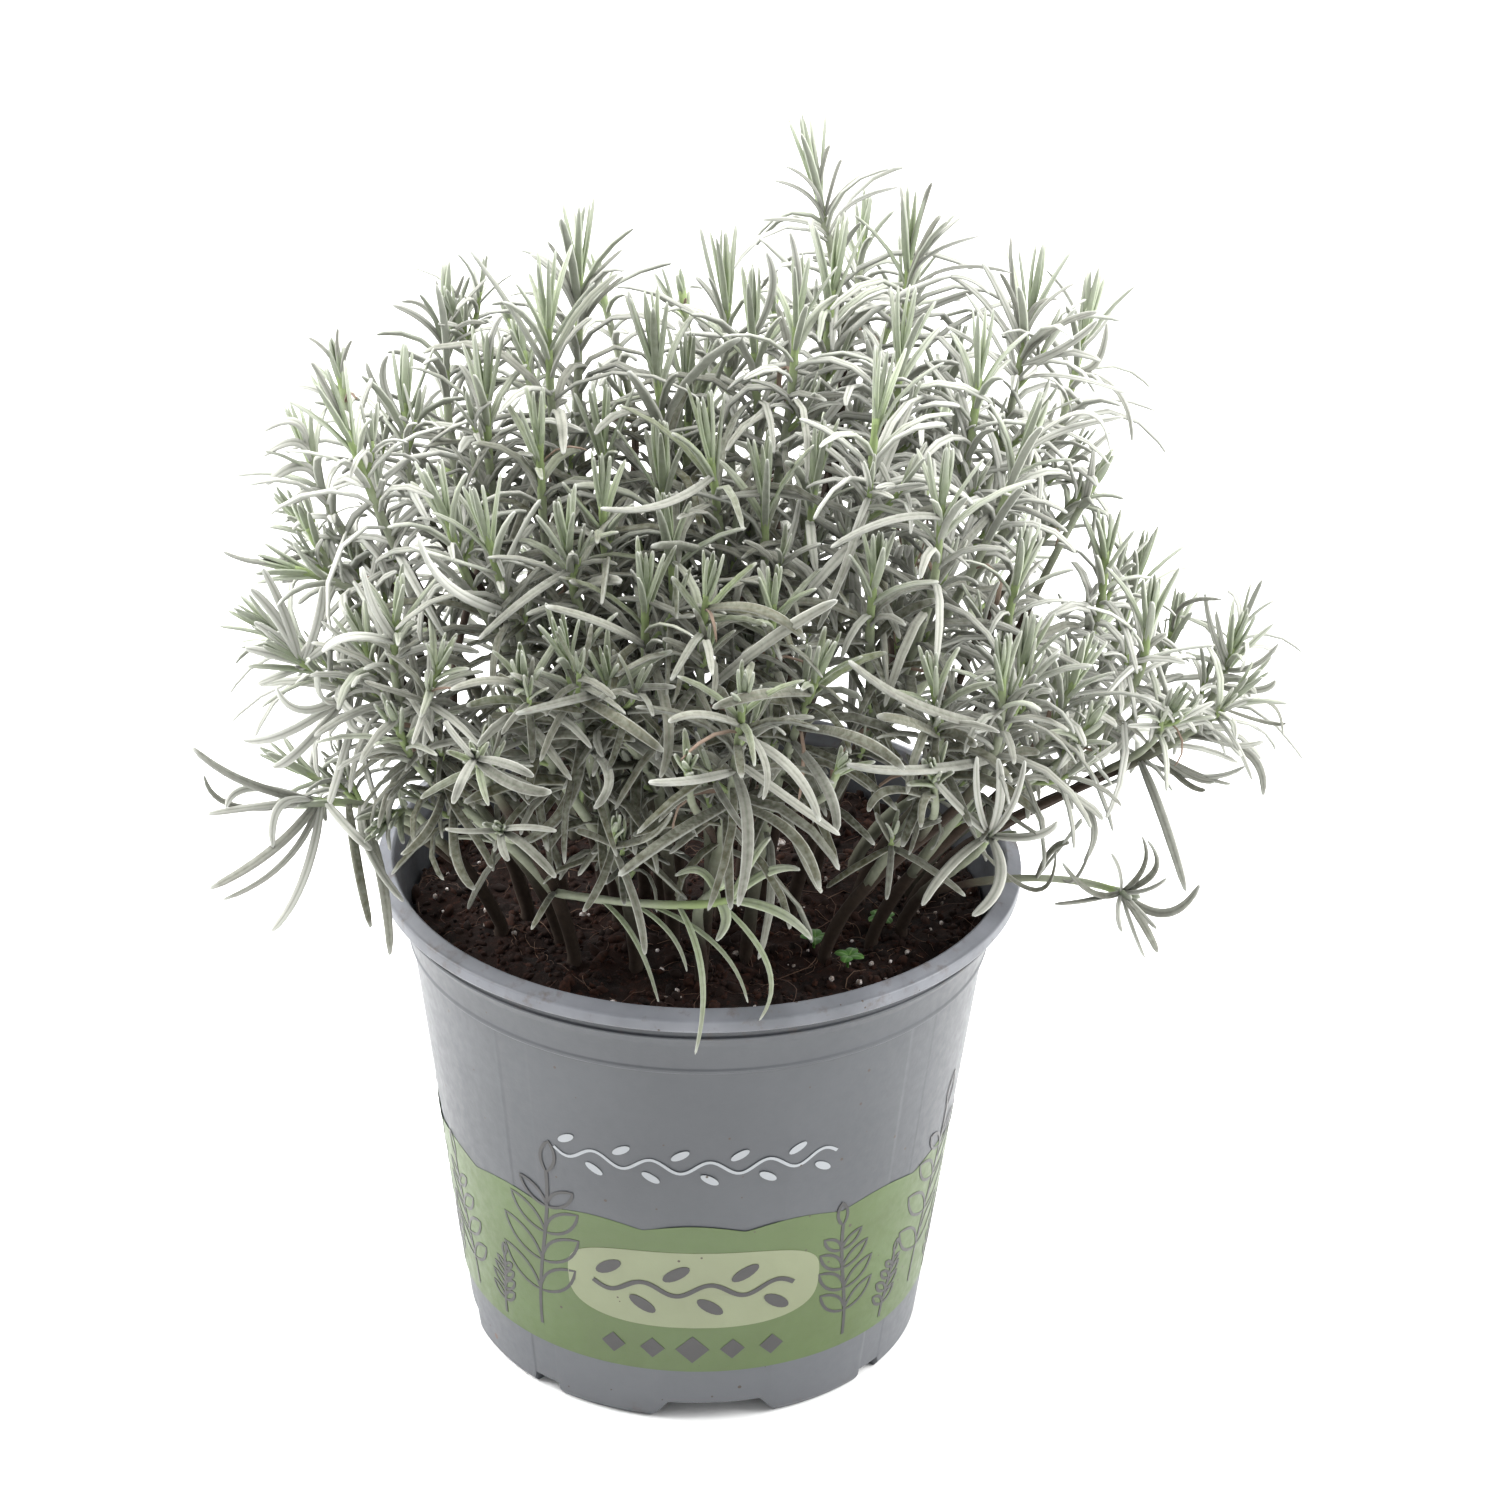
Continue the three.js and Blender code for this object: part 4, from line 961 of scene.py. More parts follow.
# The pairs of leaves on a sprig: how far up its stalk, and their length as a share of it.
SPRIG_LEAVES = ((0.22, 0.30), (0.42, 0.30), (0.61, 0.26), (0.78, 0.20))
STALK_LINE = 0.85
LEAF_LINE = 0.72


def wall_radius(height):
    """The outside of the pot's wall between the foot and the collar, a plain cone."""
    share = (height - 1.4) / (COLLAR_HEIGHT - 1.1 - 1.4)
    return FOOT_RADIUS + 0.4 + share * (COLLAR_RADIUS - 0.7 - FOOT_RADIUS - 0.4)


PRINT_RADIUS = wall_radius((PRINT_FOOT + PRINT_TOP) / 2)
PRINT_GIRTH = 2 * math.pi * PRINT_RADIUS


def on_wall(across, height, lift):
    """Points on the pot's wall: across is millimetres to the right of the front, measured round
    the wall at the middle of the print."""
    bearing = across / PRINT_RADIUS
    radius = wall_radius(height) + lift
    return np.stack([radius * np.sin(bearing), -radius * np.cos(bearing), height], axis=-1)


def add_print(name, parts, material):
    """A print as a film of ink, a shell with a rim."""
    piece = add_piece(name, parts, [material])
    film = piece.modifiers.new("film", "SOLIDIFY")
    film.thickness = PRINT_FILM * MM
    film.offset = -1
    settle(piece, crease=35)


def print_band():
    """A band round the wall, with a straight foot and a top edge of shallow scallops: height runs
    evenly from one to the other."""
    rows, columns = 5, 360
    across = np.linspace(0, PRINT_GIRTH, columns, endpoint=False)
    top = PRINT_TOP + SCALLOP_DEPTH * np.abs(np.cos(across / PRINT_GIRTH * math.pi * SCALLOPS))
    share = np.linspace(0, 1, rows)[:, None]
    height = PRINT_FOOT + share * (top - PRINT_FOOT)
    points = on_wall(np.broadcast_to(across, height.shape), height, PRINT_LIFT)
    return part(points, quads=grid_quads(rows, columns, wrapped=True))


def disc_on_wall(half_width, half_height, centre, lift, power=2.0, turn=0.0, sides=48):
    """A filled superellipse on the wall: |x/a|^power + |y/b|^power = 1, as rings out from its
    middle."""
    angle = circle(sides)
    x = half_width * np.sign(np.cos(angle)) * np.abs(np.cos(angle)) ** (2 / power)
    y = half_height * np.sign(np.sin(angle)) * np.abs(np.sin(angle)) ** (2 / power)
    share = np.linspace(0, 1, 6)[1:, None]
    x, y = spun(share * x, share * y, turn)
    rings = on_wall(centre[0] + x, centre[1] + y, lift)
    middle = on_wall(np.array(centre[0]), np.array(centre[1]), lift)
    here = np.arange(sides)
    fan = np.stack([np.zeros(sides, int), 1 + here, 1 + (here + 1) % sides], axis=-1)
    quads = 1 + grid_quads(5, sides, wrapped=True)[:, ::-1]
    return part(np.concatenate([middle[None], rings.reshape(-1, 3)]), fan, quads)


def line_on_wall(path, width, closed=False, lift=2 * PRINT_LIFT):
    """A drawn line: a strip to each side of a path on the wall, square to its direction."""
    path = np.asarray(path, float)
    if closed:
        forward = np.roll(path, -1, axis=0) - np.roll(path, 1, axis=0)
    else:
        forward = np.gradient(path, axis=0)
    square = unit(forward)[:, ::-1] * (-1, 1) * width / 2
    both = np.stack([path + square, path - square])
    points = on_wall(both[..., 0], both[..., 1], lift)
    return part(points, quads=grid_quads(2, len(path), wrapped=closed)[:, ::-1])


def sprig_lines(across, height, size, lean):
    """A plain upright sprig in outline: a bowed stalk with pairs of pointed oval leaves. It bows to
    the side as the square of a sine of the share of its length."""
    t = np.linspace(0, 1, 14)
    bow = 0.12 * size * lean * np.sin(math.pi * t / 2) ** 2
    lines = [line_on_wall(np.stack([across + bow, height + size * t], axis=-1), STALK_LINE)]
    for share, reach in SPRIG_LEAVES:
        at = (across + np.interp(share, t, bow), height + size * share)
        for side in (-1, 1):
            lines.append(leaf_outline(at, size * reach, math.radians(90 - side * 48)))
    top = (across + bow[-1], height + size)
    lines.append(leaf_outline(top, 0.2 * size, math.radians(90 - 8 * lean)))
    return lines


def leaf_outline(at, length, turn):
    """A closed line round a pointed oval that starts at a point: its half-width is the 0.8th power
    of a sine of the share of its length."""
    share = np.concatenate([np.linspace(0, 1, 9), np.linspace(1, 0, 9)[1:-1]])
    side = np.concatenate([np.ones(9), -np.ones(7)])
    x, y = spun(length * share, 0.19 * length * side * np.sin(math.pi * share) ** 0.8, turn)
    return line_on_wall(np.stack([at[0] + x, at[1] + y], axis=-1), LEAF_LINE, closed=True)


def garland(half_width, height, waves, bud, lift):
    """A line in sine waves with a bud on the outside of each bend. bud is half a bud's length."""
    wave_height, bud_gap = 1.6, 1.1
    t = np.linspace(-1, 1, 90)
    path = np.stack([half_width * t, height + wave_height * np.sin(waves * math.pi * t)], axis=-1)
    parts = [line_on_wall(path, bud / 3, lift=lift)]
    for number in range(2 * waves):
        side = (-1) ** (number + waves + 1)
        centre = (half_width * ((number + 0.5) / waves - 1), height + side * (bud_gap + bud))
        parts.append(disc_on_wall(bud, 0.43 * bud, centre, lift, turn=math.radians(35 * side), sides=16))
    return parts


def sprig_row():
    """Tall and low sprigs by turns round the wall, with small ones between, all clear of the panel."""
    lines = []
    for index in range(SPRIGS):
        across = PRINT_GIRTH * (index + 0.5) / SPRIGS
        across = across - PRINT_GIRTH if across > PRINT_GIRTH / 2 else across
        if abs(across) > PANEL_HALF[0] + 5:
            lines += sprig_lines(across, **(LOW_SPRIG if index % 2 else TALL_SPRIG))
        between = across + PRINT_GIRTH / SPRIGS / 2
        if abs(between) > PANEL_HALF[0] + 9:
            lines += sprig_lines(between, **SMALL_SPRIG)
    return lines


def make_print():
    green = pad_printed_ink("green_print", "#3F4E24", "#435429")
    pale = pad_printed_ink("pale_green_print", "#6B7055", "#70765A")
    dark = pad_printed_ink("grey_line_print", "#2A2828", "#312F2F")
    white = pad_printed_ink("white_print", "#84878A", "#8A8D90")
    lift = 2 * PRINT_LIFT
    panel = disc_on_wall(*PANEL_HALF, (0.0, PANEL_HEIGHT), lift, power=3.2, sides=96)
    garland_on_wall = garland(half_width=29, height=GARLAND_HEIGHT, waves=5, bud=2.1, lift=lift)
    garland_on_panel = garland(half_width=22, height=PANEL_HEIGHT, waves=3, bud=3.4, lift=lift + PRINT_LIFT)
    lozenges = []
    for place in range(-2, 3):
        half = 2.8 + (place == 0)
        lozenges.append(disc_on_wall(half, half, (9 * place, LOZENGE_HEIGHT), lift, power=1.0, sides=16))
    add_print("print_band", [print_band()], green)
    add_print("print_panel", [panel], pale)
    add_print("print_sprigs", sprig_row(), dark)
    add_print("print_garland", garland_on_wall, white)
    add_print("print_lozenges", lozenges, dark)
    add_print("print_panel_garland", garland_on_panel, dark)


# Soil


def soil_height(x, y):
    """The soil's top: low waves in two directions, a little higher at the middle."""
    waves = np.sin(x * 0.21 + 1) * np.cos(y * 0.17) + 0.6 * np.sin(x * 0.09 - y * 0.13)
    return SOIL_LEVEL + SOIL_BUMP * waves - 0.0006 * (x * x + y * y)


def rough_soil_height(x, y):
    """The soil's top with lumps and crumbs on it."""
    places = np.stack([x, y, 0 * x], axis=-1)
    lumps = 0.7 * lattice_noise(places, 5.0, 21) + 0.45 * lattice_noise(places, 2.1, 22)
    return soil_height(x, y) + lumps + 0.25 * lattice_noise(places, 0.9, 23)


def soil_edge():
    return inner_radius(SOIL_LEVEL - 4) - SOIL_GAP


def make_soil():
    floor = FLOOR_TOP + SOIL_GAP
    bearing = circle(300)
    side_heights = np.array([floor, floor, 40, COLLAR_HEIGHT - 10, COLLAR_HEIGHT - 2])
    side_radii = inner_radius(side_heights) - SOIL_GAP
    side_radii[0] = 0
    rings = soil_edge() * np.linspace(1, 0, 70)[:, None] ** 0.8
    radius = np.concatenate([side_radii[:, None], rings]) + 0 * bearing
    top = rough_soil_height(rings * np.sin(bearing), -rings * np.cos(bearing))
    top[-1] = top[-1].mean()
    height = np.concatenate([side_heights[:, None] + 0 * bearing, top])
    add_piece("soil_body", [revolved(radius, height, bearing)], [damp_peat()], "soil")


def ball(sides, rings):
    """Points of a unit ball between two poles, and its faces."""
    angle = circle(sides)
    tilt = np.linspace(-math.pi / 2, math.pi / 2, rings + 2)[1:-1, None]
    level, height = np.cos(tilt), np.sin(tilt) + 0 * angle
    ring = np.stack([level * np.cos(angle), level * np.sin(angle), height], axis=-1)
    points = np.concatenate([[[0, 0, -1]], ring.reshape(-1, 3), [[0, 0, 1]]])
    return points, *capped_tube(rings, sides)


def random_turns(random, count):
    """Rotation matrices spread evenly over all turns, from random quaternions."""
    w, x, y, z = unit(random.normal(size=(count, 4))).T
    rows = [
        [1 - 2 * (y * y + z * z), 2 * (x * y - w * z), 2 * (x * z + w * y)],
        [2 * (x * y + w * z), 1 - 2 * (x * x + z * z), 2 * (y * z - w * x)],
        [2 * (x * z - w * y), 2 * (y * z + w * x), 1 - 2 * (x * x + y * y)],
    ]
    return np.array(rows).transpose(2, 0, 1)


def scattered(random, count, least=0.0, most=1.0):
    """Places on the soil between two shares of its radius, evenly spread."""
    radius = soil_edge() * np.sqrt(random.uniform(least**2, most**2, count))
    turn = random.uniform(0, 2 * math.pi, count)
    x, y = radius * np.sin(turn), -radius * np.cos(turn)
    return np.stack([x, y, rough_soil_height(x, y)], axis=-1)


def lumps(random, places, size, sides, rings, stretch, jitter):
    """Uneven grains: a ball for each place, stretched along one way, roughened and turned."""
    points, triangles, quads = ball(sides, rings)
    count = len(places)
    shape = points[None] * (1 + random.uniform(-jitter, jitter, (count, len(points), 1)))
    shape = shape * np.stack([stretch, np.ones(count), random.uniform(0.6, 1, count)], axis=-1)[:, None]
    turned = np.einsum("nij,nkj->nki", random_turns(random, count), shape) * size[:, None, None]
    tone = np.repeat(random.uniform(0, 1, count), len(points))
    faces = [copied_faces(corners, len(points), count) for corners in (triangles, quads)]
    return part(turned + places[:, None], *faces, tone=tone)


def threads(random, places, length, radius, bow):
    """Thin bent tubes that lie at the places: each centre line is a level arc that rises at its
    middle, both as a parabola."""
    count, stops, sides = len(places), 7, 3
    t = np.linspace(-0.5, 0.5, stops)
    arch = (0.25 - t**2) * 4
    turn = random.uniform(0, 2 * math.pi, count)
    way = np.stack([np.cos(turn), np.sin(turn), random.normal(0, 0.15, count)], axis=-1)
    side = np.stack([-np.sin(turn), np.cos(turn), np.zeros(count)], axis=-1)
    curve = random.uniform(-1, 1, count) * bow
    lines = places[:, None] + t[:, None] * (way * length[:, None])[:, None]
    lines = lines + arch[:, None] * (side * (curve * length)[:, None])[:, None]
    apart = np.hypot(lines[..., 0], lines[..., 1])
    lines[..., :2] *= np.minimum(1, (soil_edge() - 0.6) / np.maximum(apart, 1))[..., None]
    ground = rough_soil_height(lines[..., 0], lines[..., 1])
    hump = arch * random.uniform(0, 1, (count, 1)) * 0.12 * length[:, None]
    lines[..., 2] = ground + radius + hump
    tone = np.repeat(random.uniform(0, 1, count), stops * sides + 2)
    return tubes(lines, np.full(lines.shape[:2], radius), sides, tone=tone)


def tubes(lines, radii, sides, surface=0, **values):
    """Round tubes along centre lines, closed at both ends."""
    count, rings, _ = lines.shape
    forward = unit(np.gradient(lines, axis=1))
    side = unit(np.cross(forward, OFF_AXIS))
    over = np.cross(forward, side)
    angle = circle(sides)[:, None]
    ring = np.cos(angle) * side[:, :, None] + np.sin(angle) * over[:, :, None]
    ring = lines[:, :, None] + ring * radii[:, :, None, None]
    points = np.concatenate([lines[:, :1], ring.reshape(count, -1, 3), lines[:, -1:]], axis=1)
    triangles, quads = capped_tube(rings, sides)
    faces = [copied_faces(corners, points.shape[1], count) for corners in (triangles, quads)]
    return part(points, *faces, surface, **values)


def grains(random, places, size, sides, rings, longest, jitter):
    """Uneven grains that are stretched by up to longest."""
    stretch = random.uniform(1, longest, len(places))
    return lumps(random, places, size, sides, rings, stretch, jitter)


def make_soil_litter():
    random = np.random.default_rng(LITTER_SEED)
    count = {"crumbs": 2200, "chips": 160, "fibres": 420, "roots": 40, "fine": 70, "edge": 30, "large": 14}
    places = scattered(random, count["crumbs"])
    crumbs = grains(random, places, random.gamma(4, 0.13, len(places)) + 0.15, 5, 2, 1.9, 0.25)
    places = scattered(random, count["chips"])
    size = random.uniform(0.7, 1.5, len(places))
    chips = lumps(random, places, size, 6, 3, random.uniform(1.2, 2.4, len(places)), 0.2)
    add_piece("soil_crumbs", [crumbs, chips], [peat_crumb()])
    places = scattered(random, count["fibres"])
    fibres = threads(random, places, random.uniform(2, 8, len(places)), 0.08, 0.4)
    places = scattered(random, count["roots"], 0.3)
    roots = threads(random, places, random.uniform(10, 20, len(places)), 0.11, 0.5)
    add_piece("soil_fibres", [fibres, roots], [dry_fibre()])
    places = np.concatenate([scattered(random, count["fine"]), scattered(random, count["edge"], 0.8, 0.97)])
    places[:, 2] += 0.3
    fine = grains(random, places, random.gamma(4, 0.08, len(places)) + 0.15, 8, 5, 1.3, 0.12)
    places = scattered(random, count["large"])
    large = grains(random, places, random.uniform(0.7, 1.2, len(places)), 10, 6, 1.4, 0.15)
    add_piece("soil_perlite", [fine, large], [expanded_perlite()])


# Stems


def make_draw(seed):
    """Numbers from 0 to 1 by the 32-bit congruence that the solids are drawn with."""
    state = (seed + 1) * 2654435761 % 2**32

    def draw():
        nonlocal state
        state = (state * 1664525 + 1013904223) % 2**32
        return state / 2**32

    return draw


def far_stems():
    """The far shoots, stem by stem, over the half turn behind the pot's axis."""
    draw = make_draw(FAR_SEED)

    def uneven(whole):
        return (draw() - 0.5) * whole

    stems = []
    for stem in range(FAR_STEMS):
        bearing = math.radians(FAR_START + (stem + 0.5) * FAR_SPAN / FAR_STEMS)
        shoots = []
        for tier in FAR_TIERS:
            turn = bearing + math.radians(uneven(16))
            swell = 1 + uneven(0.12)
            lift = uneven(16)
            lean = math.radians(uneven(14))
            tip = on_circle(tier["radius"] * swell, turn + lean, tier["height"] + lift)
            foot = on_circle(tier["foot_radius"] * swell, turn, tier["foot_height"] + lift)
            shoots.append((tip, foot))
        stems.append(shoots)
    return stems


def on_circle(radius, turn, height):
    return np.array([radius * math.cos(turn), radius * math.sin(turn), height])


def stand_of(shoots):
    """Where a stem stands: below its shoots' feet, on rays from a point under the soil."""
    feet = np.array([foot for _, foot in shoots])
    share = FOCUS_DEPTH / (feet[:, 2] - SOIL_LEVEL + FOCUS_DEPTH)
    stand = (feet[:, :2] * share[:, None]).mean(axis=0)
    return stand * min(1, LARGEST_STAND / np.linalg.norm(stand))


def spread_stands(stands):
    """Moves stands that crowd each other apart along the line between them, and sets them on the
    soil."""
    stands = np.array(stands)
    for _ in range(20):
        for i, j in zip(*np.triu_indices(len(stands), 1)):
            apart = stands[j] - stands[i]
            short = STAND_SPACING - np.linalg.norm(apart)
            if short > 0:
                stands[i] -= unit(apart) * short / 2
                stands[j] += unit(apart) * short / 2
    return np.column_stack([stands, soil_height(stands[:, 0], stands[:, 1])])


def bezier(start, first, second, end, t):
    t = t[:, None]
    return (1 - t) ** 3 * start + 3 * (1 - t) ** 2 * t * first + 3 * (1 - t) * t**2 * second + t**3 * end


def rising_path(start, heading, tip, foot, steps):
    """A stem that leaves its start along a heading, bends to the foot of its leafy part, and runs
    straight on to where the youngest leaves take over."""
    growth = unit(tip - foot)
    handle = 0.35 * np.linalg.norm(foot - start)
    t = np.linspace(0, 1, steps)
    bent = bezier(start, start + handle * heading, foot - handle * growth, foot, t)
    leafy = np.linalg.norm(tip - foot)
    end = tip - growth * min(APEX_REACH, 0.6 * leafy)
    straight = foot + np.linspace(0, 1, steps // 2)[1:, None] * (end - foot)
    return np.concatenate([bent, straight])


def stem_paths(shoots, stand):
    """The centre lines of a stem's leader, from its hole in the soil, and of the shoots that fork
    from it."""
    tip, foot = shoots[0]
    fan = unit(unit(foot - stand) + UP)
    above = rising_path(stand + 2 * UP, fan, tip, foot, LEADER_STEPS)
    below = stand + np.linspace(0.5 - HOLE_DEPTH, 0, 4)[:, None] * UP
    paths = [np.concatenate([below, above])]
    rise = unit(above[LEADER_STEPS // 2] - above[0])
    for index, (tip, foot) in enumerate(shoots[1:]):
        start = above[round((LEADER_STEPS - 1) * FORK_SHARES[index % 2])]
        heading = unit(unit(foot - start) + rise)
        paths.append(rising_path(start, heading, tip, foot, 16))
    return paths


def run_along(path):
    """How far each point of a path is from its first, along the path."""
    steps = np.linalg.norm(np.diff(path, axis=0), axis=1)
    return np.concatenate([[0], np.cumsum(steps)])


def measured(path, down):
    """The points of a path at distances back from its end, and its directions there."""
    run = run_along(path[::-1])
    forward = unit(np.gradient(path, axis=0))[::-1]
    place = np.stack([np.interp(down, run, column) for column in path[::-1].T], axis=-1)
    along = unit(np.stack([np.interp(down, run, column) for column in forward.T], axis=-1))
    return place, along


def outward(along, turn):
    """Directions square to a stem's own, each turned about it by an angle."""
    east = unit(np.cross(OFF_AXIS, along))
    return np.cos(turn)[:, None] * east + np.sin(turn)[:, None] * np.cross(along, east)


# Leaves

# The way down the stem from the tip to its second leaf, and twice this more for each gap after it.
FIRST_GAP = 0.8
GAP_GROWTH = 0.03
# The reach below a tip within which leaves grow up and a stem's colour ages from fresh green to felt.
RIPE_REACH = 34
LEAF_CLEARANCE = 1.4
RIM_CLEARANCE = 1.3
# A full-grown leaf's length, and how many of the old leaves curl round or dry up.
LEAF_LENGTH = 24
CURLED_SHARE = 0.1
DRY_SHARE = 0.05
YOUNG_AGE = 0.17
OLD_AGE = 0.7
BRANCH_SEED = 499
LEAF_RINGS = np.array([0.02, 0.2, 0.45, 0.7, 0.9, 0.98])
LEAF_SHARES = np.concatenate([[-0.01], LEAF_RINGS, [1.0]])
RING_WIDTHS = np.array([0.66, 0.93, 1.0, 0.96, 0.76, 0.42])
RING_DEPTHS = np.array([0.9, 1.0, 1.0, 0.95, 0.85, 0.6])
# Half a leaf across, from the groove over the rolled margin to the keel: the height of each point
# is in half-widths, and the number that tells the material where it lies is last.
LEAF_SECTION = np.array(
    [
        (1.0, 0.02, 1.0),
        (0.6, 0.42, 0.5),
        (0.0, 0.16, 0.0),
        (-0.6, 0.42, 0.5),
        (-1.0, 0.02, 1.0),
        (-0.65, -0.5, 1.5),
        (0.0, -0.36, 2.0),
        (0.65, -0.5, 1.5),
    ]
)


def leaf_set(**columns):
    return {name: np.asarray(value, float) for name, value in columns.items()}


def pooled(sets):
    return {name: np.concatenate([one[name] for one in sets]) for name in sets[0]}


# The bush's shaded hearts: the middle of each, and its radius. Leaves that start in them get thin
# felt, painted dark as the shade there, and thick felt from a reach away.
HEARTS = np.array([(0, -48, 138, 58), (-11, -20, 205, 20)], float)
PAINTED_SHADE_REACH = 36


def exposure(places):
    """How open the bush is at each place: 0 in its shaded hollows, and 1 well outside them."""
    apart = np.linalg.norm(places[:, None] - HEARTS[:, :3], axis=-1) - HEARTS[:, 3]
    return np.clip(apart.min(axis=1) / PAINTED_SHADE_REACH, 0, 1)


def shoot_leaves(random, path, room, ripe, least, most, breadth, youngest=0.0):
    """The leaves of one shoot, from its tip down, each turned by a golden angle from the one above.
    The gap to the next grows with the distance from the tip. Length grows towards its full value
    with that distance over ripe, the reach within which leaves grow up. The youngest stand in a
    closed spindle, and below it they lean and curl out. The felt thins with age, and it is painted
    thinner, so darker, towards the bush's shaded heart, as painted shade. A few old leaves have
    dried up narrow and curled. room is how far down leaves stand, least and most are the lengths of
    the youngest and of the full-grown, breadth is half a full-grown leaf's width, and youngest is the
    tip leaves' age."""
    count = int((math.sqrt(FIRST_GAP**2 + 4 * GAP_GROWTH * room) - FIRST_GAP) / (2 * GAP_GROWTH))
    order = np.arange(count)
    down = FIRST_GAP * order + GAP_GROWTH * order**2
    place, along = measured(path, down)
    turn = np.radians(GOLDEN_ANGLE * order + 360 * random.random() + random.normal(0, 12, count))
    age = np.clip(down / ripe, 0, 1)
    grown = 1 - np.exp(-3.8 * (down + FIRST_GAP) / ripe)
    opened = 1 - np.exp(-((down / (0.22 * ripe)) ** 3))
    uneven = 0.15 + 0.85 * opened
    lean = 10 + 18 * opened + 16 * age + random.normal(0, 13, count) * uneven
    curl = -11 + 85 * opened + random.normal(0, 30, count) * uneven
    curl += (random.random(count) < CURLED_SHARE) * random.uniform(30, 110, count) * age
    spread = np.clip(random.normal(0, 0.2, count), -0.4, 0.22)
    dry = (random.random(count) < DRY_SHARE * age) * 1.0
    curl += dry * random.uniform(40, 180, count)
    return leaf_set(
        place=place,
        along=along,
        out=outward(along, turn),
        length=(least + (most - least) * grown) * np.exp(spread * uneven - 0.3 * dry),
        width=breadth * (0.72 + 0.28 * grown) * np.exp(random.normal(0, 0.13, count) - 0.7 * dry),
        lean=np.radians(np.clip(lean, 2, 85)),
        curl=np.radians(curl),
        droop=0.02 + 0.2 * age * random.uniform(0.2, 1.4, count),
        sway=random.normal(0, 0.14, count) * uneven,
        twist=random.normal(0, 0.6, count) * uneven,
        tone=random.uniform(0, 1, count),
        age=youngest + (1 - youngest) * age,
        # felt: thinner with age, and painted thinner towards the shaded hearts as painted shade.
        felt=np.clip(0.8 * exposure(place) + 0.26 * (1 - age) + random.normal(0, 0.12, count), 0, 1),
        dry=dry,
    )


def kept_clear(lines):
    """Lifts centre lines over the soil and the rim, and holds them within the solids' own box, with
    0.008 of its size to spare."""
    radius = np.hypot(lines[..., 0], lines[..., 1])
    over_soil = soil_height(lines[..., 0], lines[..., 1]) + LEAF_CLEARANCE
    over_rim = POT_HEIGHT + RIM_CLEARANCE
    ramp = np.clip((radius - (RIM_RADIUS - 10)) / 5, 0, 1)
    least = np.where(radius < RIM_RADIUS + LEAF_CLEARANCE, over_soil + ramp * (over_rim - over_soil), 1.0)
    held = lines.copy()
    held[..., 2] = np.maximum(held[..., 2], least)
    spare = 0.008 * (np.array(cad_box[1]) - np.array(cad_box[0])) / MM
    low = np.array(cad_box[0]) / MM - POT_AXIS - spare
    high = np.array(cad_box[1]) / MM - POT_AXIS + spare
    low[2] = 1.0
    return np.clip(held, low, high)


def leaf_lines(leaves, shares):
    """Centre lines of leaves: each is an arc that starts at its lean from the stem and turns
    outwards by its curl, then bends down by droop and aside by sway with the square of the share."""
    lean, curl, length = (leaves[name][:, None] for name in ("lean", "curl", "length"))
    curl = np.where(np.abs(curl) < 0.02, 0.02, curl)
    forward = (np.sin(lean + curl * shares) - np.sin(lean)) / curl
    outward = (np.cos(lean) - np.cos(lean + curl * shares)) / curl
    aside = leaves["sway"][:, None] * shares**2
    fall = leaves["droop"][:, None] * shares**2
    side = np.cross(leaves["along"], leaves["out"])
    lines = forward[..., None] * leaves["along"][:, None] + outward[..., None] * leaves["out"][:, None]
    lines = lines + aside[..., None] * side[:, None] - fall[..., None] * UP
    return leaves["place"][:, None] + length[..., None] * lines


def grown_leaves(leaves):
    """The blades of leaves that a shoot grows by its rule."""
    lines = kept_clear(leaf_lines(leaves, LEAF_SHARES))
    return leaf_part(leaves, lines, np.cross(leaves["along"], leaves["out"]), LEAF_SHARES)


def low_twig(paths, seen):
    """The centre line of a twig taken from the photograph, from the nearest point of its stem. Its
    handles lie half as far again from the middle of its ends as the points that it passes."""
    start, *passed, end = np.array([from_photo(stop) for stop in seen])
    nearby = np.concatenate(paths)
    start = nearby[np.linalg.norm(nearby - start, axis=-1).argmin()]
    handles = 1.5 * np.array(passed) - 0.25 * (start + end)
    return bezier(start, *handles, end, np.linspace(0, 1, 14))


def long_leaves(paths, seen, age):
    """The blades of leaves taken from the photograph: each is a parabola from the nearest point of
    its stem through the point that it passes, and faces up and forward."""
    nearby = np.concatenate(paths)
    stops = np.array([[from_photo(stop) for stop in stops] for *stops, _, _ in seen])
    gaps = np.linalg.norm(nearby[None] - stops[:, :1], axis=-1)
    start, passed, end = nearby[gaps.argmin(axis=1)], stops[:, 1], stops[:, 2]
    bent = 2 * passed - (start + end) / 2
    shares = np.concatenate([[-0.01], np.linspace(0.02, 0.98, 13), [1.0]])
    t = shares[:, None, None]
    lines = ((1 - t) ** 2 * start + 2 * t * (1 - t) * bent + t**2 * end).transpose(1, 0, 2)
    count = len(seen)
    leaves = leaf_set(
        width=[1.1 * half_width for *_, half_width, _ in seen],
        twist=0.7 * np.cos(np.arange(count)),
        tone=np.linspace(0.2, 0.9, count),
        age=np.full(count, age),
        # The listed felt is also painted thinner towards the shaded hearts, as painted shade.
        felt=np.array([felt for *_, felt in seen]) * (0.55 + 0.45 * exposure(end)),
        dry=np.zeros(count),
    )
    return leaf_part(leaves, kept_clear(lines), unit(np.cross((0, -0.8, 1), end - start)), shares)


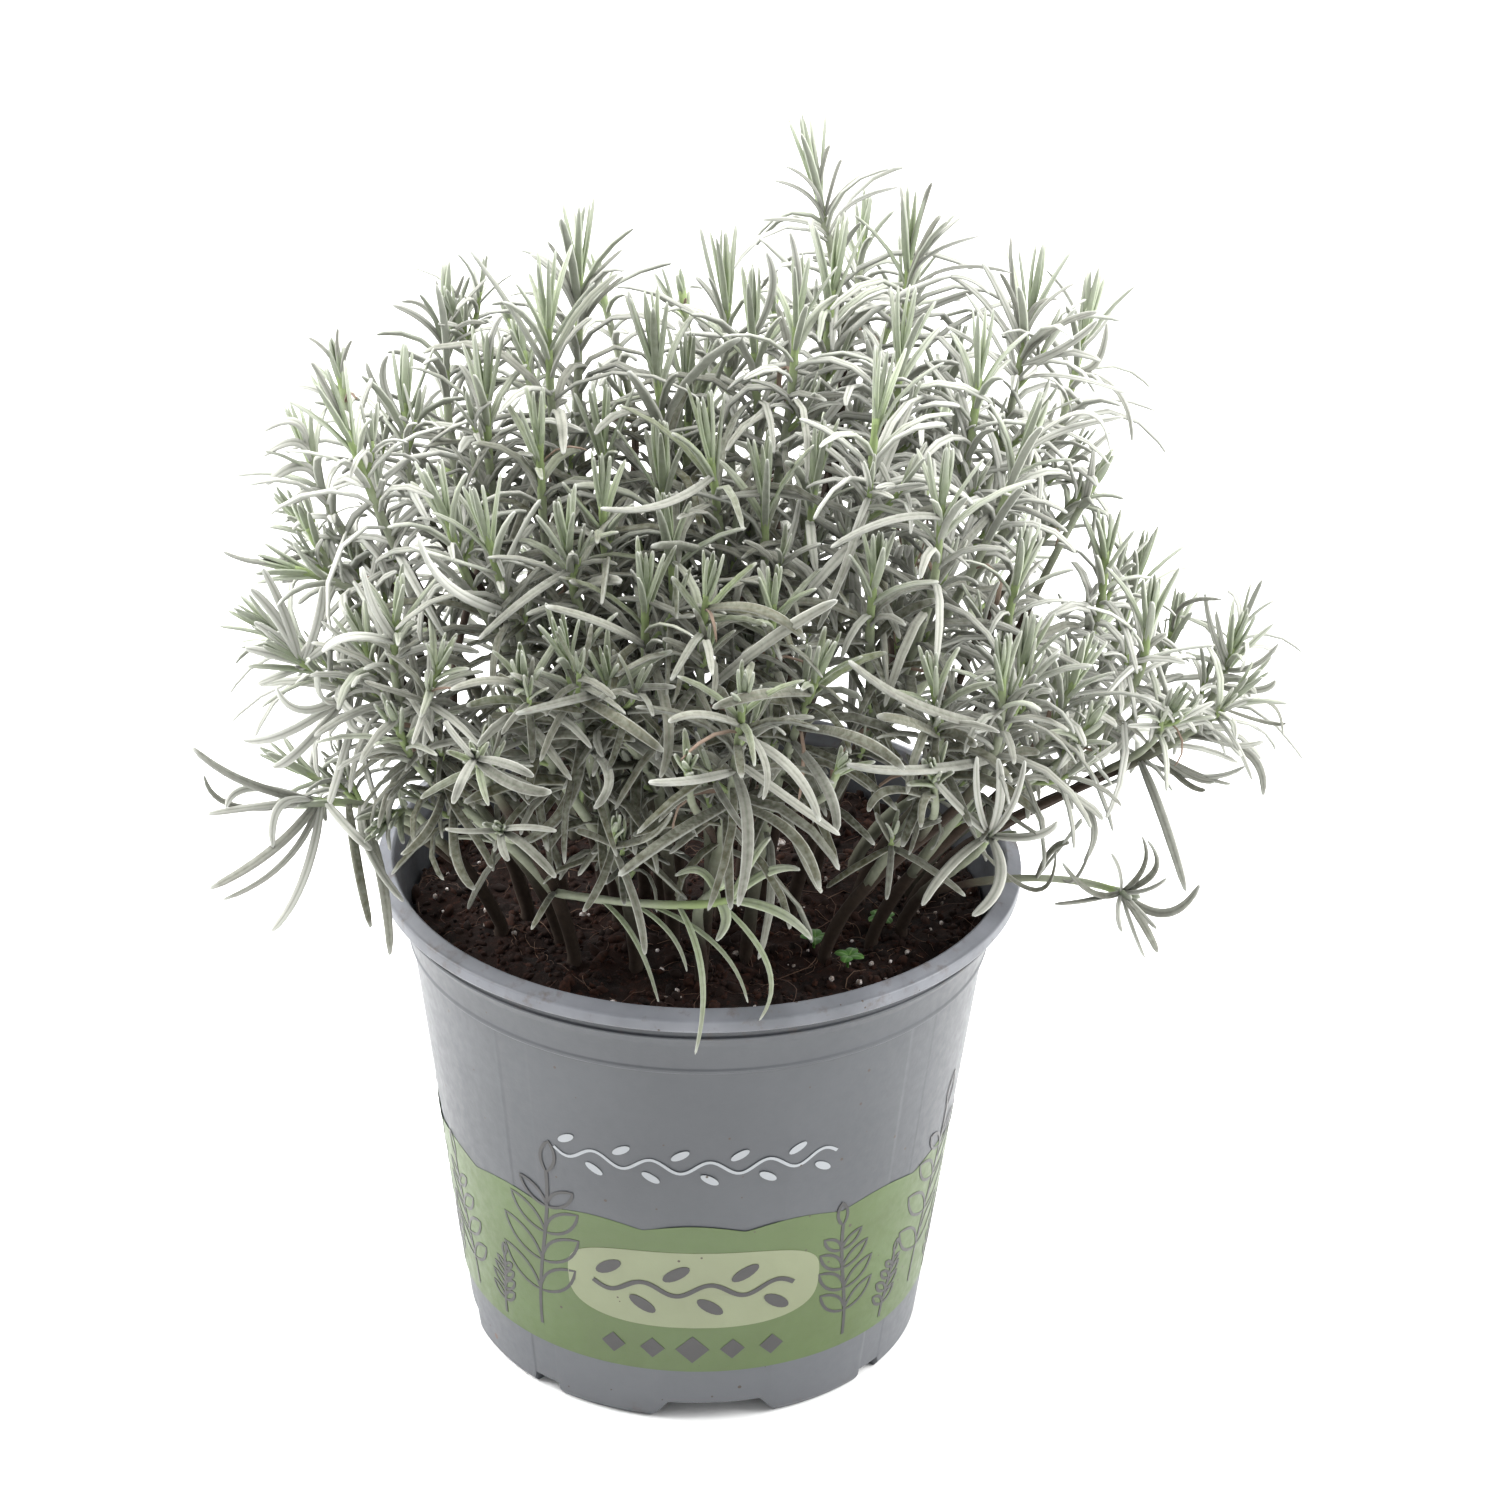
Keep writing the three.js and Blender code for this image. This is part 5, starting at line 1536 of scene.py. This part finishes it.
def leaf_part(leaves, lines, side, shares):
    """Leaves as closed blades: a grooved section with rolled margins is carried along each centre
    line, twisted a little on the way, from a point inside the stem to the tip. The youngest narrow
    by half with the square of the share, and old ones are blunt. side is where the right margin
    lies, and shares are how far along each point of the line is."""
    count = len(lines)
    forward = unit(np.gradient(lines, axis=1))
    side = side[:, None]
    side = unit(side - (side * forward).sum(axis=-1, keepdims=True) * forward)
    over = np.cross(forward, side)
    turn = (leaves["twist"][:, None] * shares)[..., None]
    side, over = np.cos(turn) * side + np.sin(turn) * over, np.cos(turn) * over - np.sin(turn) * side
    inner = shares[1:-1]
    narrowed = 1 - 0.5 * np.maximum(0, 1 - 2.5 * leaves["age"][:, None]) * inner**2
    half = leaves["width"][:, None] * np.interp(inner, LEAF_RINGS, RING_WIDTHS) * narrowed
    deep = leaves["width"][:, None] * np.interp(inner, LEAF_RINGS, RING_DEPTHS)
    section_x, section_y, across = LEAF_SECTION.T
    rings = (
        lines[:, 1:-1, None]
        + (half[..., None] * section_x)[..., None] * side[:, 1:-1, None]
        + (deep[..., None] * section_y)[..., None] * over[:, 1:-1, None]
    )
    points = np.concatenate([lines[:, :1], rings.reshape(count, -1, 3), lines[:, -1:]], axis=1)
    each = points.shape[1]
    faces = [copied_faces(corners, each, count) for corners in capped_tube(len(inner), len(LEAF_SECTION))]
    values = {name: np.repeat(leaves[name], each) for name in ("tone", "age", "felt", "dry")}
    across = np.concatenate([[1], np.tile(across, len(inner)), [1]])
    along = np.concatenate([[0], np.repeat(inner, len(LEAF_SECTION)), [1]])
    return part(points, *faces, across=np.tile(across, count), along=np.tile(along, count), **values)


def stem_part(path, first, last, sides=8, ripe=RIPE_REACH):
    """A stem along a path, tapered, with small knots where leaves have been. It is full-grown from
    ripe millimetres below its end."""
    run = run_along(path)
    radii = (first + (last - first) * run / run[-1]) * (1 + 0.07 * np.sin(run * 1.9))
    left = np.clip((run[-1] - run) / ripe, 0, 3)
    age = np.concatenate([left[:1], np.repeat(left, sides), left[-1:]])
    values = {"across": 1.0, "along": 0.5, "tone": 0.5, "age": age, "felt": 0.5, "dry": 0.0}
    return tubes(path[None], radii[None], sides, surface=1, **values)


def length_above(path, height):
    """How much of a path's length lies over a height."""
    steps = np.linalg.norm(np.diff(path, axis=0), axis=1)
    return steps[path[1:, 2] > height].sum()


def side_twigs(random, path, room):
    """Short young shoots that stand in the corners of older leaves, all the way down. The smallest
    shoots have none."""
    count = max(2, round((room + 12) / 20)) if room > 12 else 0
    down = random.uniform(0.15, 1.0, count) * (room + 12)
    place, along = measured(path, down)
    out = outward(along, random.uniform(0, 2 * math.pi, count))
    twigs = []
    for start, up, way in zip(place, along, out):
        length = random.uniform(4, 15)
        heading = unit(up + random.uniform(0.6, 1.3) * way)
        t = np.linspace(0, 1, 6)[:, None]
        twigs.append(start + length * (t * heading + 0.35 * t**2 * (unit(up + UP) - heading)))
    return twigs


def grow_shoot(random, name, path, tip, foot):
    """The stem of a shoot and of its side twigs, and all their leaves. name is the number of the
    woody stem and of the shoot on it, and the first shoot is the leader. Leaves grow longest high up,
    where shoots end from 200 to 230 mm, and low down, from 165 to 140 mm, where shoots are also bare
    further up."""
    is_leader = name[1] == 1
    is_open = name in OPEN_SHOOTS
    forked = THIN_TWIG_RADIUS if is_open else TWIG_RADIUS
    ripe = 14 if is_open else RIPE_REACH
    stems = [stem_part(path, STEM_RADIUS if is_leader else forked, SHOOT_END_RADIUS, ripe=ripe)]
    length = run_along(path[::-1])[-1] - (HOLE_DEPTH if is_leader else 0)
    high = np.clip((path[-1, 2] - 200) / 30, 0, 1)
    low = np.clip((165 - path[-1, 2]) / 25, 0, 1)
    most = (LEAF_LENGTH + 3 * high + 4 * low) * math.exp(random.normal(0, 0.1))
    room = LEAFY_SHARE * length if is_leader else 14 + 1.35 * np.linalg.norm(tip - foot)
    room = min(room * (1 - 0.38 * low), max(12, length_above(path, BARE_HEIGHT)))
    room, most = OPEN_SHOOTS.get(name, (room, most))
    room = min(room, length - 6)
    least = min(8 + 6 * high, 0.55 * most)
    leaves = [shoot_leaves(random, path, room, RIPE_REACH, least, most, 1.0 + 0.15 * low)]
    for twig in side_twigs(random, path, min(room, length - 18)):
        stems.append(stem_part(twig, 0.7, 0.5, 6))
        reach = np.linalg.norm(twig[-1] - twig[0])
        leaves.append(shoot_leaves(random, twig, 0.9 * reach, 12, 5, 10 + 0.6 * reach, 0.75, 0.15))
    return stems, grown_leaves(pooled(leaves))


def make_branch(number, shoots, stand, materials):
    """A woody stem with its shoots, its low twigs and the long leaves seen on it, as one piece."""
    random = np.random.default_rng(BRANCH_SEED + number)
    paths = stem_paths(shoots, stand)
    stems, blades = [], []
    for order, (path, (tip, foot)) in enumerate(zip(paths, shoots), 1):
        shoot_stems, shoot_blades = grow_shoot(random, (number, order), path, tip, foot)
        stems += shoot_stems
        blades.append(shoot_blades)
    twigs = [low_twig(paths, seen) for stem, seen in LOW_TWIGS if stem == number]
    stems += [stem_part(twig, 1.0, 0.8, 6) for twig in twigs]
    for listed, age in ((YOUNG_LEAVES, YOUNG_AGE), (LONG_LEAVES, OLD_AGE)):
        seen = [leaf for stem, *leaf in listed if stem == number]
        if seen:
            blades.append(long_leaves(paths + twigs, seen, age))
    parts = [*blades, *stems]
    add_piece(f"foliage_{number:02d}", parts, materials, f"branch_{number:02d}")


def make_bush():
    seen = [[(from_photo(tip), from_photo(foot)) for tip, foot in shoots] for shoots in SEEN_STEMS]
    stems = seen + far_stems()
    stands = spread_stands([stand_of(shoots) for shoots in stems])
    materials = [felted_leaf(), felted_stem()]
    for number, (shoots, stand) in enumerate(zip(stems, stands), 1):
        make_branch(number, shoots, stand, materials)


# Seedlings


def make_seedling(index, seen, materials):
    """A weed seedling: a thin stalk with four round leaves. A leaf is a flattened ball that sinks
    with the square of the distance from its middle, with its halves folded up along the vein."""
    x, y, _ = from_photo(seen)
    base = np.array([x, y, soil_height(x, y)])
    t = np.linspace(0, 1, 6)[:, None]
    stalk = base + UP * (-2 + 6 * t) + np.array([0.5, 0.2, 0]) * t**2
    parts = [tubes(stalk[None], np.full((1, 6), 0.35), 6, across=1.0)]
    points, triangles, quads = ball(20, 9)
    across = np.abs(points[:, 1])
    length, width, thickness = (points * (1.7, 1.4, 0.22)).T
    length = length + 1.6
    height = thickness + (0.4 * across - 0.3 * (points[:, 0] ** 2 + points[:, 1] ** 2)) + 0.08 * length
    for leaf in range(4):
        blade = np.column_stack([*spun(length, width, math.radians(90 * leaf + 35 * index)), height])
        parts.append(part(blade + stalk[-1], triangles, quads, across=across))
    add_piece(f"weed_{index + 1}", parts, materials, f"seedling_{index + 1}")


def make_seedlings():
    materials = [seedling_leaf()]
    for index, seen in enumerate(SEEDLINGS):
        make_seedling(index, seen, materials)


# Studio


# Each softbox: its place and its width in metres, and its power in watts.
SOFTBOXES = {
    "overhead_softbox": ((0.0, 0.15, 1.4), 1.1, 24),
    "left_softbox": ((-1.1, 0.2, 0.9), 1.0, 37),
    "right_softbox": ((1.1, -0.05, 0.8), 1.0, 31),
    "back_softbox": ((0.0, 1.8, 0.8), 1.2, 16),
}
LIT_POINT = np.array([0, 0, 0.15])
TENT_COLOUR = (0.97, 0.985, 1.0, 1.0)
TENT_STRENGTH = 0.97
FLOOR_HALF = 6


def aim(holder, place, right, up, back):
    """Puts a camera or a light at a place in metres, with its three directions."""
    turn = Matrix([list(row) for row in np.column_stack([right, up, back])]).to_4x4()
    turn.translation = [*place]
    holder.matrix_world = turn


def make_camera():
    place, forward, right, up = camera_axes()
    camera = bpy.data.cameras.new("camera")
    camera.sensor_width = SENSOR_WIDTH
    camera.lens = SENSOR_WIDTH * PHOTO_FOCUS / PHOTO_SIZE
    camera.clip_start, camera.clip_end = 0.05, 50
    holder = set_in_scene("camera", camera)
    aim(holder, (place + POT_AXIS) * MM, right, up, -forward)
    bpy.context.scene.camera = holder


def make_floor():
    mesh = bpy.data.meshes.new("floor")
    corners = [(x * FLOOR_HALF, y * FLOOR_HALF, 0) for x, y in ((-1, -1), (1, -1), (1, 1), (-1, 1))]
    mesh.from_pydata(corners, [], [(0, 1, 2, 3)])
    mesh.materials.append(painted_board())
    set_in_scene("floor", mesh)


def add_softbox(name, place, width, power):
    light = bpy.data.lights.new(name, "AREA")
    light.shape = "DISK"
    light.size = width
    light.energy = power
    back = unit(place - LIT_POINT)
    right = unit(np.cross(UP, back))
    aim(set_in_scene(name, light), place, right, np.cross(back, right), back)


def make_studio():
    make_floor()
    for name, (place, width, power) in SOFTBOXES.items():
        add_softbox(name, place, width, power)
    world = bpy.data.worlds.new("white_tent")
    world.use_nodes = True
    background = world.node_tree.nodes["Background"]
    background.inputs["Color"].default_value = TENT_COLOUR
    background.inputs["Strength"].default_value = TENT_STRENGTH
    bpy.context.scene.world = world
    bpy.context.scene.view_settings.view_transform = "Standard"


make_camera()
make_pot()
make_print()
make_soil()
make_soil_litter()
make_bush()
make_seedlings()
make_studio()
